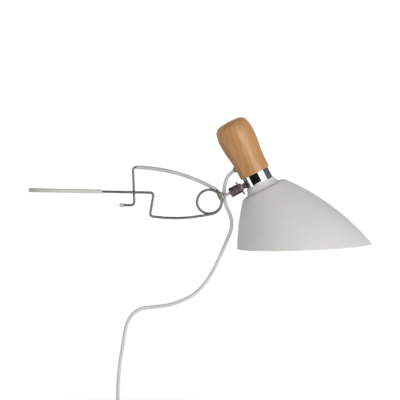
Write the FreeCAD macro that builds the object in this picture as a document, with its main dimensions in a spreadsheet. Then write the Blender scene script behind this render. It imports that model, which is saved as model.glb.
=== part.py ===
"""A clip-on reading lamp: one bent spring wire as a clip, a knuckle with a tommy-bar lock,
and a head of wood, chrome and painted metal. Millimetres, +Z up, +X from the board towards the shade.
The origin is the top edge of the board that the clip holds, under the upper jaw."""
import FreeCAD, Part
import math
import os

import Sketcher
from FreeCAD import Placement, Rotation, Vector

doc = FreeCAD.newDocument("clip_on_reading_lamp")
sheet = doc.addObject("Spreadsheet::Sheet", "Dimensions")

# ---------------------------------------------------------------------------------------------
# Driving sizes: alias, value, meaning
# ---------------------------------------------------------------------------------------------
DRIVING = [
    # clip wire, in the XZ plane
    ("wire_d", 3.6, "diameter of the spring wire"),
    ("arm_spacing", 5.4, "between the centres of the two arms, across the clip"),
    ("jaw_reach", 144, "upper jaw, from the board's edge to its tip"),
    ("jaw_tip_z", 4.95, "height of the upper jaw's tip"),
    ("riser_x", 41.1, "top of the riser, past the board's edge"),
    ("riser_z", 1.05, "height of the riser's top"),
    ("riser_drop", 34.8, "height of the riser"),
    ("riser_lean", 6.2, "how far the riser's foot stands nearer the board"),
    ("sag_x", 76.1, "lowest corner of the lower arm"),
    ("sag_drop", 6, "lower arm's corner below the riser's foot"),
    ("leg_x", 9.8, "top of the leg, past the board's edge"),
    ("leg_z", 39.2, "height of the leg's top"),
    ("leg_drop", 56.9, "height of the leg"),
    ("leg_lean", 2.1, "how far the leg's foot stands further from the board"),
    ("hook_length", 21, "lower jaw, from the leg to its tip"),
    ("crest_x", 80.25, "corner of the upper arm"),
    ("crest_z", 34.7, "height of the upper arm's corner"),
    ("wire_bend_r", 4.8, "bend radius of the wire's corners"),
    ("arm_bend_share", 0.9, "share of the shorter run that an arm's long bend takes"),
    ("sleeve_d", 6, "diameter of the upper jaw's sleeve"),
    ("sleeve_end", 36, "right end of the upper jaw's sleeve, short of the board's edge"),
    ("arm_sleeve_d", 5.4, "diameter of the upper arm's sleeve"),
    ("sleeve_gap", 0.05, "play between a wire and its sleeve"),
    ("hook_cap_d", 5.6, "diameter of the lower jaw's cap"),
    ("hook_cap_length", 6, "length of the lower jaw's cap"),
    ("cap_end", 1.2, "end wall of the lower jaw's cap"),
    # spring coil
    ("coil_x", 123.3, "centre of the spring coil"),
    ("coil_z", -12.9, "height of the coil's centre"),
    ("coil_r", 18.2, "mean radius of the coil"),
    ("coil_entry_r", 21, "radius at which the upper arm joins the coil"),
    ("coil_entry_turn", 80, "turn over which the coil closes in from the upper arm"),
    ("coil_dip", 1, "how far the first turn runs inside the second at the bottom"),
    ("coil_dip_at", 150, "turn at which that dip is deepest"),
    ("coil_dip_half", 90, "half the turn that the dip takes"),
    # clamp on the coil and the rod
    ("clamp_angle", 28, "place of the clamp round the coil"),
    ("clamp_inner", 3.3, "clamp's inner face inside the coil's mean radius"),
    ("clamp_outer", 5.5, "clamp's outer face outside the coil's mean radius"),
    ("clamp_length", 11, "clamp, along the wire"),
    ("clamp_width", 11.4, "clamp, across the clip"),
    ("clamp_boss", 1, "length of the clamp's boss round the rod"),
    ("clamp_boss_r", 3.5, "radius of that boss"),
    ("clamp_gap", 0.3, "play of the sliding turn in the clamp"),
    ("clamp_screw_r", 1.5, "radius of the clamp's set screw"),
    ("clamp_screw_up", 3.2, "set screw above the coil's centre line"),
    ("clamp_screw_y", 1.6, "set screw in front of the rod's line, over the gripped turn"),
    ("rod_r", 2.4, "radius of the rod"),
    ("rod_exposed", 8.7, "rod between the clamp's boss and the knuckle"),
    ("rod_seat", 1.4, "rod inside the clamp"),
    ("rod_in_knuckle", 8.4, "rod inside the knuckle"),
    ("rod_offset", 2.5, "rod's line below the coil's centre"),
    ("groove_depth", 0.5, "depth of the rod's groove"),
    ("groove_half", 1.2, "half the width of the rod's groove"),
    ("groove_at", 4.6, "groove's middle inside the knuckle"),
    ("running_gap", 0.05, "radial play of a turning fit"),
    # knuckle
    ("barrel_r", 7.5, "radius of the knuckle"),
    ("barrel_length", 20.3, "length of the knuckle"),
    ("ear_reach", 3.5, "ears past the tilt axis"),
    ("slot_width", 5.4, "slot between the ears"),
    ("slot_floor_gap", 0.5, "play between the tongue's end and the slot's floor"),
    ("tongue_width", 4.8, "thickness of the tongue"),
    ("tongue_r", 4.6, "radius of the tongue's round end"),
    ("tongue_half", 3.8, "half the height of the tongue's neck"),
    ("grip_screw_r", 1.5, "radius of the knuckle's grub screw"),
    ("grip_tip_r", 0.9, "radius of the grub screw's tip"),
    ("grip_tip_gap", 0.2, "play between that tip and the groove's floor"),
    ("pin_r", 2, "radius of the lock screw's shank"),
    ("lock_seat", 6.5, "flat under the lock screw's washer, from the knuckle's axis"),
    ("lock_washer_r", 4, "radius of the lock screw's washer"),
    ("lock_washer_t", 0.8, "thickness of that washer"),
    ("lock_head_gap", 0.3, "play under the lock screw's head"),
    ("lock_head_r", 3.3, "radius of the lock screw's head"),
    ("lock_head_length", 5.8, "length of the lock screw's head"),
    ("bar_r", 1.1, "radius of the tommy bar"),
    ("bar_length", 22.5, "length of the tommy bar"),
    ("bar_angle", 80.4, "tommy bar below the knuckle's axis at rest"),
    # head
    ("head_tilt", 27.3, "head's axis from the vertical"),
    ("lug_neck", 6, "between the knuckle's ears and the collar's flat"),
    ("lug_boss_r", 4.6, "radius of the lug's boss"),
    ("lug_boss_length", 2.5, "length of the lug's boss"),
    ("stud_r", 3, "radius of the lug's stud"),
    ("flat_depth", 0.5, "depth of the flat that the lug sits on"),
    ("neck_length", 9.8, "painted neck ring"),
    ("neck_foot_r", 26, "foot radius of the neck ring"),
    ("neck_top_r", 22.3, "top radius of the neck ring"),
    ("neck_curve_r", 16, "hollow curve of the neck ring"),
    ("collar_length", 16.5, "chrome collar"),
    ("collar_r", 21, "radius of the collar"),
    ("collar_wall", 3.8, "wall of the collar"),
    ("collar_flange", 2, "top wall of the collar"),
    ("knuckle_height", 6.7, "knuckle's axis above the collar's foot"),
    ("handle_end_r", 23.3, "radius of the handle's foot"),
    ("handle_max_r", 27.5, "largest radius of the handle"),
    ("handle_straight", 10, "straight foot of the handle"),
    ("handle_widest", 62, "place of the largest radius above the foot"),
    ("crown_r", 50, "curve above the handle's widest place"),
    ("crown_lean", 16, "lean where the corner of the top starts"),
    ("corner_r", 12, "corner round the handle's top"),
    ("corner_lean", 80, "lean where the corner ends and the domed top starts"),
    ("bore_r", 7, "bore in the handle's foot"),
    ("bore_depth", 28, "depth of that bore"),
    # shade
    ("shade_wall", 1.2, "sheet of the shade"),
    ("shade_flat_r", 28.9, "radius of the shade's flat top"),
    ("shoulder_r", 10, "bend of the shade's shoulder"),
    ("shoulder_lean", 50.6, "turn of the shoulder"),
    ("shade_curve_r", 340, "long curve of the shade"),
    ("shade_curve_lean", 79.5, "lean where the long curve ends"),
    ("rim_depth", 97.4, "rim below the shade's top, on the axis"),
    ("rim_slant", 25, "slant of the rim against the axis's square"),
    # lampholder
    ("holder_r", 18.9, "radius of the lampholder's skirt"),
    ("holder_wall", 1.8, "wall of the lampholder"),
    ("holder_drop", 24, "skirt below the shade's top"),
    ("holder_rise", 8, "lampholder body above the shade's top"),
    ("holder_floor", 3, "inner wall of the lampholder body"),
    ("spigot_r", 14.5, "radius of the body's spigot"),
    ("spigot_length", 4, "length of that spigot"),
    ("spigot_wall", 1.7, "wall of that spigot"),
    ("holder_cap_r", 16.2, "radius of the lampholder's cap"),
    ("part_gap", 0.1, "play between parts that are screwed together"),
    ("ring_r", 25.5, "radius of the shade ring"),
    ("ring_length", 4, "thickness of the shade ring"),
    ("notch_r", 1.5, "grip notches of the shade ring"),
    ("insulator_t", 6, "thickness of the insulator"),
    ("insulator_boss_r", 11.8, "radius of the insulator's boss"),
    ("insulator_boss", 4, "height of that boss"),
    ("shell_r", 14.4, "radius of the screw shell"),
    ("shell_wall", 0.6, "sheet of the screw shell"),
    ("contact_r", 4, "radius of the centre contact"),
    ("contact_t", 1, "thickness of the centre contact"),
    ("terminal_at", 6.5, "terminal screws from the axis"),
    ("terminal_r", 2, "radius of a terminal screw"),
    ("terminal_length", 2.5, "height of a terminal screw"),
    ("nipple_r", 5, "radius of the threaded nipple"),
    ("nipple_bore_r", 3.8, "bore of the nipple"),
    ("nipple_drop", 7, "nipple below the collar's flange"),
    ("nipple_rise", 10.5, "nipple above the handle's foot"),
    ("nut_flats", 14, "nipple nut, across the flats"),
    ("nut_t", 3, "thickness of the nipple nut"),
    ("insert_length", 12, "brass insert in the handle"),
    # bulb
    ("bulb_cap_r", 13.1, "radius of the bulb's screw cap"),
    ("bulb_cap_length", 24, "length of that cap"),
    ("bulb_tip", 2, "height of the bulb's contact"),
    ("bulb_length", 78, "whole length of the bulb"),
    ("bulb_r", 22.5, "radius of the bulb's glass"),
    # cord
    ("cord_d", 5.3, "diameter of the cord"),
    ("gland_height", 17.6, "cord's exit above the handle's foot"),
    ("gland_turn", 12, "cord's exit turned from the knuckle's side"),
    ("gland_r", 4.1, "radius of the gland's shank"),
    ("gland_inner", 8, "inner end of the gland, from the head's axis"),
    ("gland_flange_r", 5.2, "radius of the gland's flange"),
    ("gland_flange_t", 1.6, "thickness of the gland's flange"),
    ("gland_nose", 2.4, "length of the gland's tapered nose"),
    ("cord_start", 10, "cord's inner end, from the head's axis"),
    ("lead_r", 0.95, "radius of an inner lead"),
    # put-away end of the cord, on the surface under the lamp
    ("floor_drop", 360, "surface below the board's edge"),
    ("coil_centre_x", 134, "centre of the put-away coil"),
    ("tail_y", 2, "cord's line on the surface, behind the clip"),
    ("hank_r", 30, "radius at the middle of the coil's turns"),
    ("hank_half", 10.6, "half the width of its bundle"),
    ("hank_height", 11, "height of its bundle"),
    ("hank_corner", 2.4, "rounding of its bundle"),
    ("tie_width", 5, "width of the tie"),
    ("tie_t", 0.8, "thickness of the tie"),
    ("plug_width", 35.3, "width of the plug"),
    ("plug_t", 13.7, "thickness of the plug"),
    ("plug_length", 30, "length of the plug's body"),
    ("plug_tail_width", 14, "width of the plug's tail"),
    ("pin_spacing", 18.6, "between the plug's pins"),
    ("plug_pin_r", 2, "radius of a plug pin"),
    ("plug_pin_length", 19, "length of a plug pin"),
    ("plug_pin_seat", 6, "pin inside the plug"),
    ("relief_length", 22, "plug's strain relief"),
    ("relief_r", 4.8, "radius of the strain relief at the plug"),
    ("relief_wall", 0.7, "wall of the strain relief at its end"),
    ("plug_x", 78, "start of the plug's body"),
    # inline switch
    ("switch_x", 60, "middle of the switch"),
    ("switch_length", 62, "length of the switch"),
    ("switch_width", 24, "width of the switch"),
    ("switch_height", 15, "height of the switch"),
    ("switch_corner", 5, "corner radius of the switch"),
    ("rocker_length", 18, "length of the rocker"),
    ("rocker_width", 9, "width of the rocker"),
    ("rocker_rise", 1.8, "rocker's crown above the cover"),
    ("rocker_gap", 0.35, "play round the rocker"),
    ("rocker_lean", 7, "lean of the rocker when off"),
]
for row, (alias, size, meaning) in enumerate(DRIVING, start=1):
    sheet.set(f"A{row}", meaning)
    sheet.set(f"B{row}", str(size))
    sheet.setAlias(f"B{row}", alias)

# Sizes worked out from them: alias, formula, meaning
WORKED_OUT = [
    ("wire_r", "wire_d / 2", "radius of the wire"),
    ("cord_r", "cord_d / 2", "radius of the cord"),
    ("clamp_face", "coil_r + clamp_outer", "clamp's outer face along the rod's line"),
    ("boss_end", "clamp_face + clamp_boss", "end of the clamp's boss"),
    ("barrel_start", "boss_end + rod_exposed", "knuckle's near end"),
    ("barrel_end", "barrel_start + barrel_length", "ends of the knuckle's ears"),
    ("pivot_at", "barrel_end - ear_reach", "tilt axis along the rod's line"),
    ("lug_seat_at", "barrel_end + lug_neck", "collar's flat"),
    ("head_reach", "lug_seat_at + collar_r - flat_depth", "head's axis"),
    ("slot_floor", "pivot_at - tongue_r - slot_floor_gap", "floor of the slot"),
    ("axis_z", "neck_length + knuckle_height", "knuckle's axis above the shade's top"),
    ("collar_top", "neck_length + collar_length", "top of the collar, foot of the handle"),
    ("gland_z", "collar_top + gland_height", "height of the cord's exit"),
    ("flange_under", "collar_top - collar_flange", "underside of the collar's flange"),
    ("handle_top_r", "handle_max_r - crown_r * (1 - cos(crown_lean))", "radius where the corner starts"),
    ("handle_top_z", "collar_top + handle_widest + crown_r * sin(crown_lean)", "its height"),
    (
        "dome_edge_r",
        "handle_top_r - corner_r * (cos(crown_lean) - cos(corner_lean))",
        "radius of the domed top",
    ),
    ("dome_edge_z", "handle_top_z + corner_r * (sin(corner_lean) - sin(crown_lean))", "its height"),
    ("dome_r", "dome_edge_r / cos(corner_lean)", "curve of the domed top"),
    ("dome_top_z", "dome_edge_z + dome_r * (1 - sin(corner_lean))", "top of the handle"),
    ("swell_r", "handle_max_r - handle_end_r", "swelling of the handle"),
    ("swell_rise", "handle_widest - handle_straight", "height over which it swells"),
    (
        "swell_curve_r",
        "(swell_r * swell_r + swell_rise * swell_rise) / (4 * swell_r)",
        "curves of the swelling",
    ),
    ("shoulder_end_r", "shade_flat_r + shoulder_r * sin(shoulder_lean)", "radius where the shoulder ends"),
    ("shoulder_end_z", "shoulder_r * cos(shoulder_lean) - shoulder_r", "its height"),
    ("curve_centre_r", "shoulder_end_r - shade_curve_r * sin(shoulder_lean)", "centre of the long curve"),
    ("curve_centre_z", "shoulder_end_z - shade_curve_r * cos(shoulder_lean)", "its height"),
    ("inner_curve_r", "shade_curve_r - shade_wall", "inside of the long curve"),
    ("inner_shoulder_r", "shoulder_r - shade_wall", "inside of the shoulder"),
    ("insulator_top", "holder_rise - holder_floor", "top of the insulator"),
    ("insulator_under", "insulator_top - insulator_t", "underside of the insulator"),
    ("bulb_top", "insulator_under - contact_t", "top of the bulb"),
    ("bulb_centre", "bulb_top - bulb_length + bulb_r", "centre of the bulb's glass"),
    ("lock_head_at", "lock_seat + lock_washer_t + lock_head_gap", "underside of the lock screw's head"),
    ("lock_head_end", "lock_head_at + lock_head_length", "top of the lock screw's head"),
    ("bar_at", "lock_head_end - 1.5 * bar_r - bar_r", "tommy bar in front of the knuckle's axis"),
    ("switch_axis_z", "switch_height / 2 - floor_drop", "height of the cord through the switch"),
    ("plug_axis_z", "plug_t / 2 - floor_drop", "height of the plug's axis"),
    ("outer_turn_r", "hank_r + 1.5 * cord_d", "outermost turn of the put-away coil"),
    ("coil_centre_y", "tail_y + outer_turn_r", "centre of the put-away coil"),
    ("plug_y", "coil_centre_y + outer_turn_r", "plug's axis"),
    ("coil_under", "tie_t - floor_drop", "underside of the put-away coil"),
    ("lay_z", "coil_under + cord_r", "height of the coil's first layer"),
    ("rim_cos", "cos(rim_slant)", "share of the slanted rim along the square"),
    ("rim_sin", "sin(rim_slant)", "share of the slanted rim along the axis"),
    ("curve_end_r", "curve_centre_r + shade_curve_r * sin(shade_curve_lean)", "low end of the long curve"),
    ("curve_end_z", "curve_centre_z + shade_curve_r * cos(shade_curve_lean)", "its height"),
    ("inner_end_r", "curve_centre_r + inner_curve_r * sin(shade_curve_lean)", "its inner face"),
    ("inner_end_z", "curve_centre_z + inner_curve_r * cos(shade_curve_lean)", "its height"),
    (
        "inner_shoulder_end_r",
        "shade_flat_r + inner_shoulder_r * sin(shoulder_lean)",
        "inside of the shoulder",
    ),
    ("inner_shoulder_end_z", "inner_shoulder_r * cos(shoulder_lean) - shoulder_r", "its height"),
    ("glass_neck_r", "bulb_r * cos(50)", "where the glass's neck meets its ball"),
    ("glass_neck_z", "bulb_centre + bulb_r * sin(50)", "its height"),
    ("bulb_cap_end", "bulb_top - bulb_tip - bulb_cap_length", "foot of the bulb's cap"),
    ("swell_start_z", "collar_top + handle_straight", "height where the handle starts to swell"),
    ("gland_seat", "handle_end_r - 0.5", "seat of the gland's flange"),
    ("gland_out", "gland_seat + gland_flange_t", "outside of the gland's flange"),
    ("gland_end", "gland_out + gland_nose", "end of the gland's nose"),
    ("screw_circle", "spigot_r - 2.5", "circle of the collar's screws"),
]
for row, (alias, formula, meaning) in enumerate(WORKED_OUT, start=len(DRIVING) + 2):
    sheet.set(f"A{row}", meaning)
    sheet.set(f"B{row}", "=" + formula)
    sheet.setAlias(f"B{row}", alias)
doc.recompute()

ALIASES = [row[0] for row in DRIVING + WORKED_OUT]


def value(formula):
    """The number that a formula of the sheet's aliases comes to."""
    sheet.set("D1", "=" + formula)
    sheet.recompute()
    return float(sheet.get("D1"))


def with_sheet(formula):
    """The formula with every alias written as a reference to the sheet."""
    words = []
    for word in formula.replace("(", " ( ").replace(")", " ) ").split():
        words.append("Dimensions." + word if word in ALIASES else word)
    return " ".join(words)


def bind(thing, **sizes):
    """Binds properties to formulas; x, y and z are the place."""
    places = {"x": "Placement.Base.x", "y": "Placement.Base.y", "z": "Placement.Base.z"}
    for name, formula in sizes.items():
        thing.setExpression(places.get(name, name), with_sheet(formula))
    return thing


# ---------------------------------------------------------------------------------------------
# Frames: the rod's (x along the rod from the coil) and the head's (z along the head's axis)
# ---------------------------------------------------------------------------------------------
LEAN = Rotation(Vector(0, 1, 0), -value("head_tilt"))
COIL_CENTRE = Vector(value("coil_x"), 0, value("coil_z"))
ROD_FRAME = Placement(COIL_CENTRE - LEAN.multVec(Vector(0, 0, value("rod_offset"))), LEAN)
HEAD_FRAME = ROD_FRAME.multiply(Placement(Vector(value("head_reach"), 0, -value("axis_z")), Rotation()))
WORLD = Placement()

ALONG_X = Rotation(Vector(0, 1, 0), 90)
ALONG_MINUS_Y = Rotation(Vector(1, 0, 0), 90)
ALONG_PLUS_Y = Rotation(Vector(1, 0, 0), -90)

nodes = []


def node(thing, label, frame):
    """Names a finished sub-part and puts it in its frame."""
    thing.Label = label
    thing.Placement = frame.multiply(thing.Placement)
    nodes.append(thing)
    return thing


# ---------------------------------------------------------------------------------------------
# Part primitives and booleans
# ---------------------------------------------------------------------------------------------
def cylinder(radius, length, x="0", y="0", z="0", turn=Rotation()):
    rod = doc.addObject("Part::Cylinder", "rod")
    rod.Placement = Placement(Vector(), turn)
    return bind(rod, Radius=radius, Height=length, x=x, y=y, z=z)


def cone(radius, end_radius, length, x="0", y="0", z="0", turn=Rotation()):
    body = doc.addObject("Part::Cone", "cone")
    body.Placement = Placement(Vector(), turn)
    return bind(body, Radius1=radius, Radius2=end_radius, Height=length, x=x, y=y, z=z)


def block(length, width, height, x="0", y="0", z="0"):
    """A box centred on x and y, standing on z."""
    box = doc.addObject("Part::Box", "block")
    return bind(
        box,
        Length=length,
        Width=width,
        Height=height,
        x=f"{x} - ({length}) / 2",
        y=f"{y} - ({width}) / 2",
        z=z,
    )


def cut(base, *tools):
    for tool in tools:
        left = doc.addObject("Part::Cut", "cut")
        left.Base = base
        left.Tool = tool
        base = left
    return base


def joined(*pieces):
    whole = doc.addObject("Part::MultiFuse", "joined")
    whole.Shapes = list(pieces)
    whole.Refine = True
    return whole


def group(*pieces):
    """Separate equal solids kept together in one node."""
    together = doc.addObject("Part::Compound", "group")
    together.Links = list(pieces)
    return together


# ---------------------------------------------------------------------------------------------
# PartDesign bodies
# ---------------------------------------------------------------------------------------------
def body_plane(body, role):
    return next(plane for plane in body.Origin.OriginFeatures if plane.Role == role)


def arc_through(start, end, radius, bulge):
    """The arc from start to end that bulges to the right (1) or to the left (-1) of that way."""
    chord = end - start
    side = Vector(chord.y, -chord.x, 0).normalize() * bulge
    depth = math.sqrt(radius * radius - chord.Length * chord.Length / 4)
    centre = (start + end) * 0.5 - side * depth
    angles = [math.atan2(point.y - centre.y, point.x - centre.x) for point in (start, end)]
    if bulge < 0:
        angles.reverse()
    return Part.ArcOfCircle(Part.Circle(centre, Vector(0, 0, 1), radius), *angles)


def outline_sketch(body, name, role, corners):
    """A closed outline. Each corner is (x, y) or (x, y, radius, bulge) if an arc leaves it."""
    sketch = body.newObject("Sketcher::SketchObject", name)
    sketch.AttachmentSupport = (body_plane(body, role), [""])
    sketch.MapMode = "FlatFace"
    points = [Vector(value(corner[0]), value(corner[1]), 0) for corner in corners]
    ends = []
    for number, corner in enumerate(corners):
        start, end = points[number], points[(number + 1) % len(points)]
        if len(corner) == 2:
            sketch.addGeometry(Part.LineSegment(start, end), False)
            ends.append((1, 2))
        else:
            radius, bulge = corner[2:]
            sketch.addGeometry(arc_through(start, end, value(radius), bulge), False)
            ends.append((1, 2) if bulge > 0 else (2, 1))
    for number, corner in enumerate(corners):
        after = (number + 1) % len(corners)
        sketch.addConstraint(
            Sketcher.Constraint("Coincident", number, ends[number][1], after, ends[after][0])
        )
        for kind, formula, size in (
            ("DistanceX", corner[0], points[number].x),
            ("DistanceY", corner[1], points[number].y),
        ):
            if formula == "0":
                axis = -2 if kind == "DistanceX" else -1
                sketch.addConstraint(
                    Sketcher.Constraint("PointOnObject", number, ends[number][0], axis)
                )
                continue
            place = sketch.addConstraint(
                Sketcher.Constraint(kind, -1, 1, number, ends[number][0], size)
            )
            sketch.setExpression(f"Constraints[{place}]", with_sheet(formula))
        if len(corner) > 2:
            size = sketch.addConstraint(Sketcher.Constraint("Radius", number, value(corner[2])))
            sketch.setExpression(f"Constraints[{size}]", with_sheet(corner[2]))
    return sketch


def turned(name, corners):
    """A body turned about its own Z axis from an outline of (radius, height) corners."""
    body = doc.addObject("PartDesign::Body", name)
    sketch = outline_sketch(body, name + "_outline", "XZ_Plane", corners)
    turning = body.newObject("PartDesign::Revolution", name + "_turning")
    turning.Profile = sketch
    turning.ReferenceAxis = (sketch, ["V_Axis"])
    turning.Angle = 360
    return body


def tube_outline(inner, outer, low, high):
    return [(inner, low), (outer, low), (outer, high), (inner, high)]


def padded_outline(name, role, corners, length):
    """A body padded square to one of its planes."""
    body = doc.addObject("PartDesign::Body", name)
    sketch = outline_sketch(body, name + "_outline", role, corners)
    pad = body.newObject("PartDesign::Pad", name + "_pad")
    pad.Profile = sketch
    bind(pad, Length=length)
    return body, pad


# ---------------------------------------------------------------------------------------------
# Bent wires and cords: straight runs joined by tangent arcs
# ---------------------------------------------------------------------------------------------
def route(points, radii):
    """The wire through the points, with an arc of the given radius at each inner point."""
    edges = []
    here = points[0]
    for number in range(1, len(points) - 1):
        before = (points[number] - points[number - 1]).normalize()
        after = (points[number + 1] - points[number]).normalize()
        half_turn = before.getAngle(after) / 2
        reach = radii[number - 1] * math.tan(half_turn)
        start = points[number] - before * reach
        end = points[number] + after * reach
        inward = (after - before).normalize()
        middle = points[number] + inward * (radii[number - 1] / math.cos(half_turn) - radii[number - 1])
        if (start - here).Length > 1e-6:
            edges.append(Part.LineSegment(here, start).toShape())
        edges.append(Part.Arc(start, middle, end).toShape())
        here = end
    edges.append(Part.LineSegment(here, points[-1]).toShape())
    return Part.Wire(edges)


def widest_radii(points, share):
    """For each inner point, the radius whose arc takes that share of the shorter run beside it."""
    radii = []
    for before, here, after in zip(points, points[1:], points[2:]):
        half_turn = (here - before).getAngle(after - here) / 2
        shorter = min((here - before).Length, (after - here).Length)
        radii.append(share * shorter / math.tan(half_turn))
    return radii


def swept(path, radius, inner_radius=0):
    """A round bar, or a tube, along a path."""
    edge = path.Edges[0]
    start = edge.valueAt(edge.FirstParameter)
    if (start - path.Vertexes[0].Point).Length > 1e-6:
        start = path.Vertexes[0].Point
    way = edge.tangentAt(edge.FirstParameter)
    solids = []
    for size in (radius, inner_radius):
        if size > 0:
            ring = Part.Wire(Part.Circle(start, way, size).toShape())
            solids.append(path.makePipeShell([ring], True, False))
    return solids[0] if len(solids) == 1 else solids[0].cut(solids[1])


def formed(label, shape, frame=WORLD):
    """A sub-part whose bent or wound shape has no feature of its own."""
    thing = doc.addObject("Part::Feature", label)
    thing.Shape = shape
    return node(thing, label, frame)


# ---------------------------------------------------------------------------------------------
# The clip: one spring wire, in two arms with a coil between them
# ---------------------------------------------------------------------------------------------
FRONT_Y = -value("arm_spacing") / 2
REAR_Y = value("arm_spacing") / 2
WIRE_R = value("wire_r")


def tangent_point(from_x, from_z, radius, side):
    """Where a straight run from a point touches a circle about the coil's centre."""
    away_x, away_z = from_x - COIL_CENTRE.x, from_z - COIL_CENTRE.z
    angle = math.atan2(away_z, away_x) + side * math.acos(radius / math.hypot(away_x, away_z))
    return angle, COIL_CENTRE.x + radius * math.cos(angle), COIL_CENTRE.z + radius * math.sin(angle)


riser_top = Vector(value("riser_x"), FRONT_Y, value("riser_z"))
riser_foot = riser_top - Vector(value("riser_lean"), 0, value("riser_drop"))
sag = Vector(value("sag_x"), FRONT_Y, riser_foot.z - value("sag_drop"))
exit_angle, exit_x, exit_z = tangent_point(sag.x, sag.z, value("coil_r"), 1)
jaw_points = [
    Vector(-value("jaw_reach"), FRONT_Y, value("jaw_tip_z")),
    riser_top,
    riser_foot,
    sag,
    Vector(exit_x, FRONT_Y, exit_z),
]
jaw_radii = [value("wire_bend_r"), value("wire_bend_r")]
jaw_radii += widest_radii(jaw_points[2:], value("arm_bend_share"))
jaw_route = route(jaw_points, jaw_radii)
formed("jaw_wire", swept(jaw_route, WIRE_R))

leg_top = Vector(value("leg_x"), REAR_Y, value("leg_z"))
leg_foot = leg_top + Vector(value("leg_lean"), 0, -value("leg_drop"))
crest = Vector(value("crest_x"), REAR_Y, value("crest_z"))
entry_angle, entry_x, entry_z = tangent_point(crest.x, crest.z, value("coil_entry_r"), -1)
arm_points = [
    leg_foot - Vector(value("hook_length"), 0, 0),
    leg_foot,
    leg_top,
    crest,
    Vector(entry_x, REAR_Y, entry_z),
]
arm_radii = [value("wire_bend_r"), value("wire_bend_r")]
arm_radii += widest_radii(arm_points[2:], value("arm_bend_share"))
arm_route = route(arm_points, arm_radii)
formed("arm_wire", swept(arm_route, WIRE_R))

coil_turn = entry_angle - exit_angle
while coil_turn < 2 * math.pi:
    coil_turn += 2 * math.pi


def eased(share):
    share = min(max(share, 0), 1)
    return share * share * (3 - 2 * share)


def coil_point(turned_by):
    """The coil's centre line, after a turn in radians from the upper arm, clockwise from the front."""
    closing = eased(math.degrees(turned_by) / value("coil_entry_turn"))
    off_dip = abs(math.degrees(turned_by) - value("coil_dip_at")) / value("coil_dip_half")
    dip = value("coil_dip") * eased(1 - off_dip)
    radius = value("coil_entry_r") + (value("coil_r") - value("coil_entry_r")) * closing - dip
    angle = entry_angle - turned_by
    across = REAR_Y + (FRONT_Y - REAR_Y) * turned_by / coil_turn
    return COIL_CENTRE + Vector(radius * math.cos(angle), across, radius * math.sin(angle))


def coil_way(turned_by):
    """The coil's direction at a turn; at its two ends, the direction of the arm that it meets."""
    if turned_by < 1e-6 or coil_turn - turned_by < 1e-6:
        angle = entry_angle - turned_by
        return Vector(math.sin(angle), 0, -math.cos(angle))
    return (coil_point(turned_by + 0.01) - coil_point(turned_by - 0.01)).normalize()


def coil_path(first, last):
    """The coil between two turns, in smooth curves of about a sixth of a turn each."""
    count = max(1, round((last - first) / math.radians(60)))
    stops = [first + (last - first) * number / count for number in range(count + 1)]
    edges = []
    for start, end in zip(stops, stops[1:]):
        curve = Part.BSplineCurve()
        curve.interpolate(
            Points=[coil_point(start + (end - start) * step / 4) for step in range(5)],
            InitialTangent=coil_way(start),
            FinalTangent=coil_way(end),
        )
        edges.append(curve.toShape())
    return Part.Wire(edges)


formed("spring_coil", swept(coil_path(0, coil_turn), WIRE_R))

jaw_way = (riser_top - jaw_points[0]).normalize()
sleeve = turned(
    "jaw_sleeve",
    tube_outline("wire_r + sleeve_gap", "sleeve_d / 2", "0", "jaw_reach - sleeve_end"),
)
sleeve.Placement = Placement(jaw_points[0], Rotation(Vector(0, 0, 1), jaw_way))
node(sleeve, "jaw_sleeve", WORLD)

arm_edges = arm_route.Edges
arm_sleeve_route = Part.Wire(arm_edges[4:])
formed(
    "arm_sleeve",
    swept(arm_sleeve_route, value("arm_sleeve_d") / 2, WIRE_R + value("sleeve_gap")),
)

hook_cap = turned(
    "hook_cap",
    [
        ("0", "0"),
        ("hook_cap_d / 2", "0"),
        ("hook_cap_d / 2", "hook_cap_length"),
        ("wire_r + sleeve_gap", "hook_cap_length"),
        ("wire_r + sleeve_gap", "cap_end"),
        ("0", "cap_end"),
    ],
)
hook_cap.Placement = Placement(arm_points[0] - Vector(value("cap_end"), 0, 0), ALONG_X)
node(hook_cap, "hook_cap", WORLD)


# ---------------------------------------------------------------------------------------------
# The clamp on the coil and the rod
# ---------------------------------------------------------------------------------------------
def coil_cutter(turned_by, radius):
    """The bore that one turn of the coil needs in the clamp, in the rod's frame."""
    reach = math.radians(40)
    bore = doc.addObject("Part::Feature", "coil_bore")
    bore.Shape = swept(coil_path(turned_by - reach, turned_by + reach), radius)
    bore.Placement = ROD_FRAME.inverse()
    return bore


clamp_turn = entry_angle - math.radians(value("clamp_angle"))
clamp = cut(
    joined(
        block(
            "clamp_inner + clamp_outer",
            "clamp_width",
            "clamp_length",
            x="coil_r + ( clamp_outer - clamp_inner ) / 2",
            z="rod_offset - clamp_length / 2",
        ),
        cylinder("clamp_boss_r", "clamp_boss + 1", x="clamp_face - 1", turn=ALONG_X),
    ),
    cylinder("rod_r", "rod_seat + clamp_boss", x="clamp_face - rod_seat", turn=ALONG_X),
    cylinder(
        "clamp_screw_r",
        "clamp_outer",
        x="coil_r",
        y="0 - clamp_screw_y",
        z="rod_offset + clamp_screw_up",
        turn=ALONG_X,
    ),
    coil_cutter(clamp_turn, WIRE_R + value("clamp_gap")),
    coil_cutter(clamp_turn + 2 * math.pi, WIRE_R),
)
node(clamp, "rod_clamp", ROD_FRAME)

clamp_screw = turned(
    "clamp_screw",
    tube_outline("0", "clamp_screw_r", "0", "clamp_outer - wire_r - part_gap"),
)
clamp_screw.Placement = Placement(
    Vector(
        value("coil_r + wire_r + part_gap"),
        -value("clamp_screw_y"),
        value("rod_offset + clamp_screw_up"),
    ),
    ALONG_X,
)
node(clamp_screw, "clamp_screw", ROD_FRAME)

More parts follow.
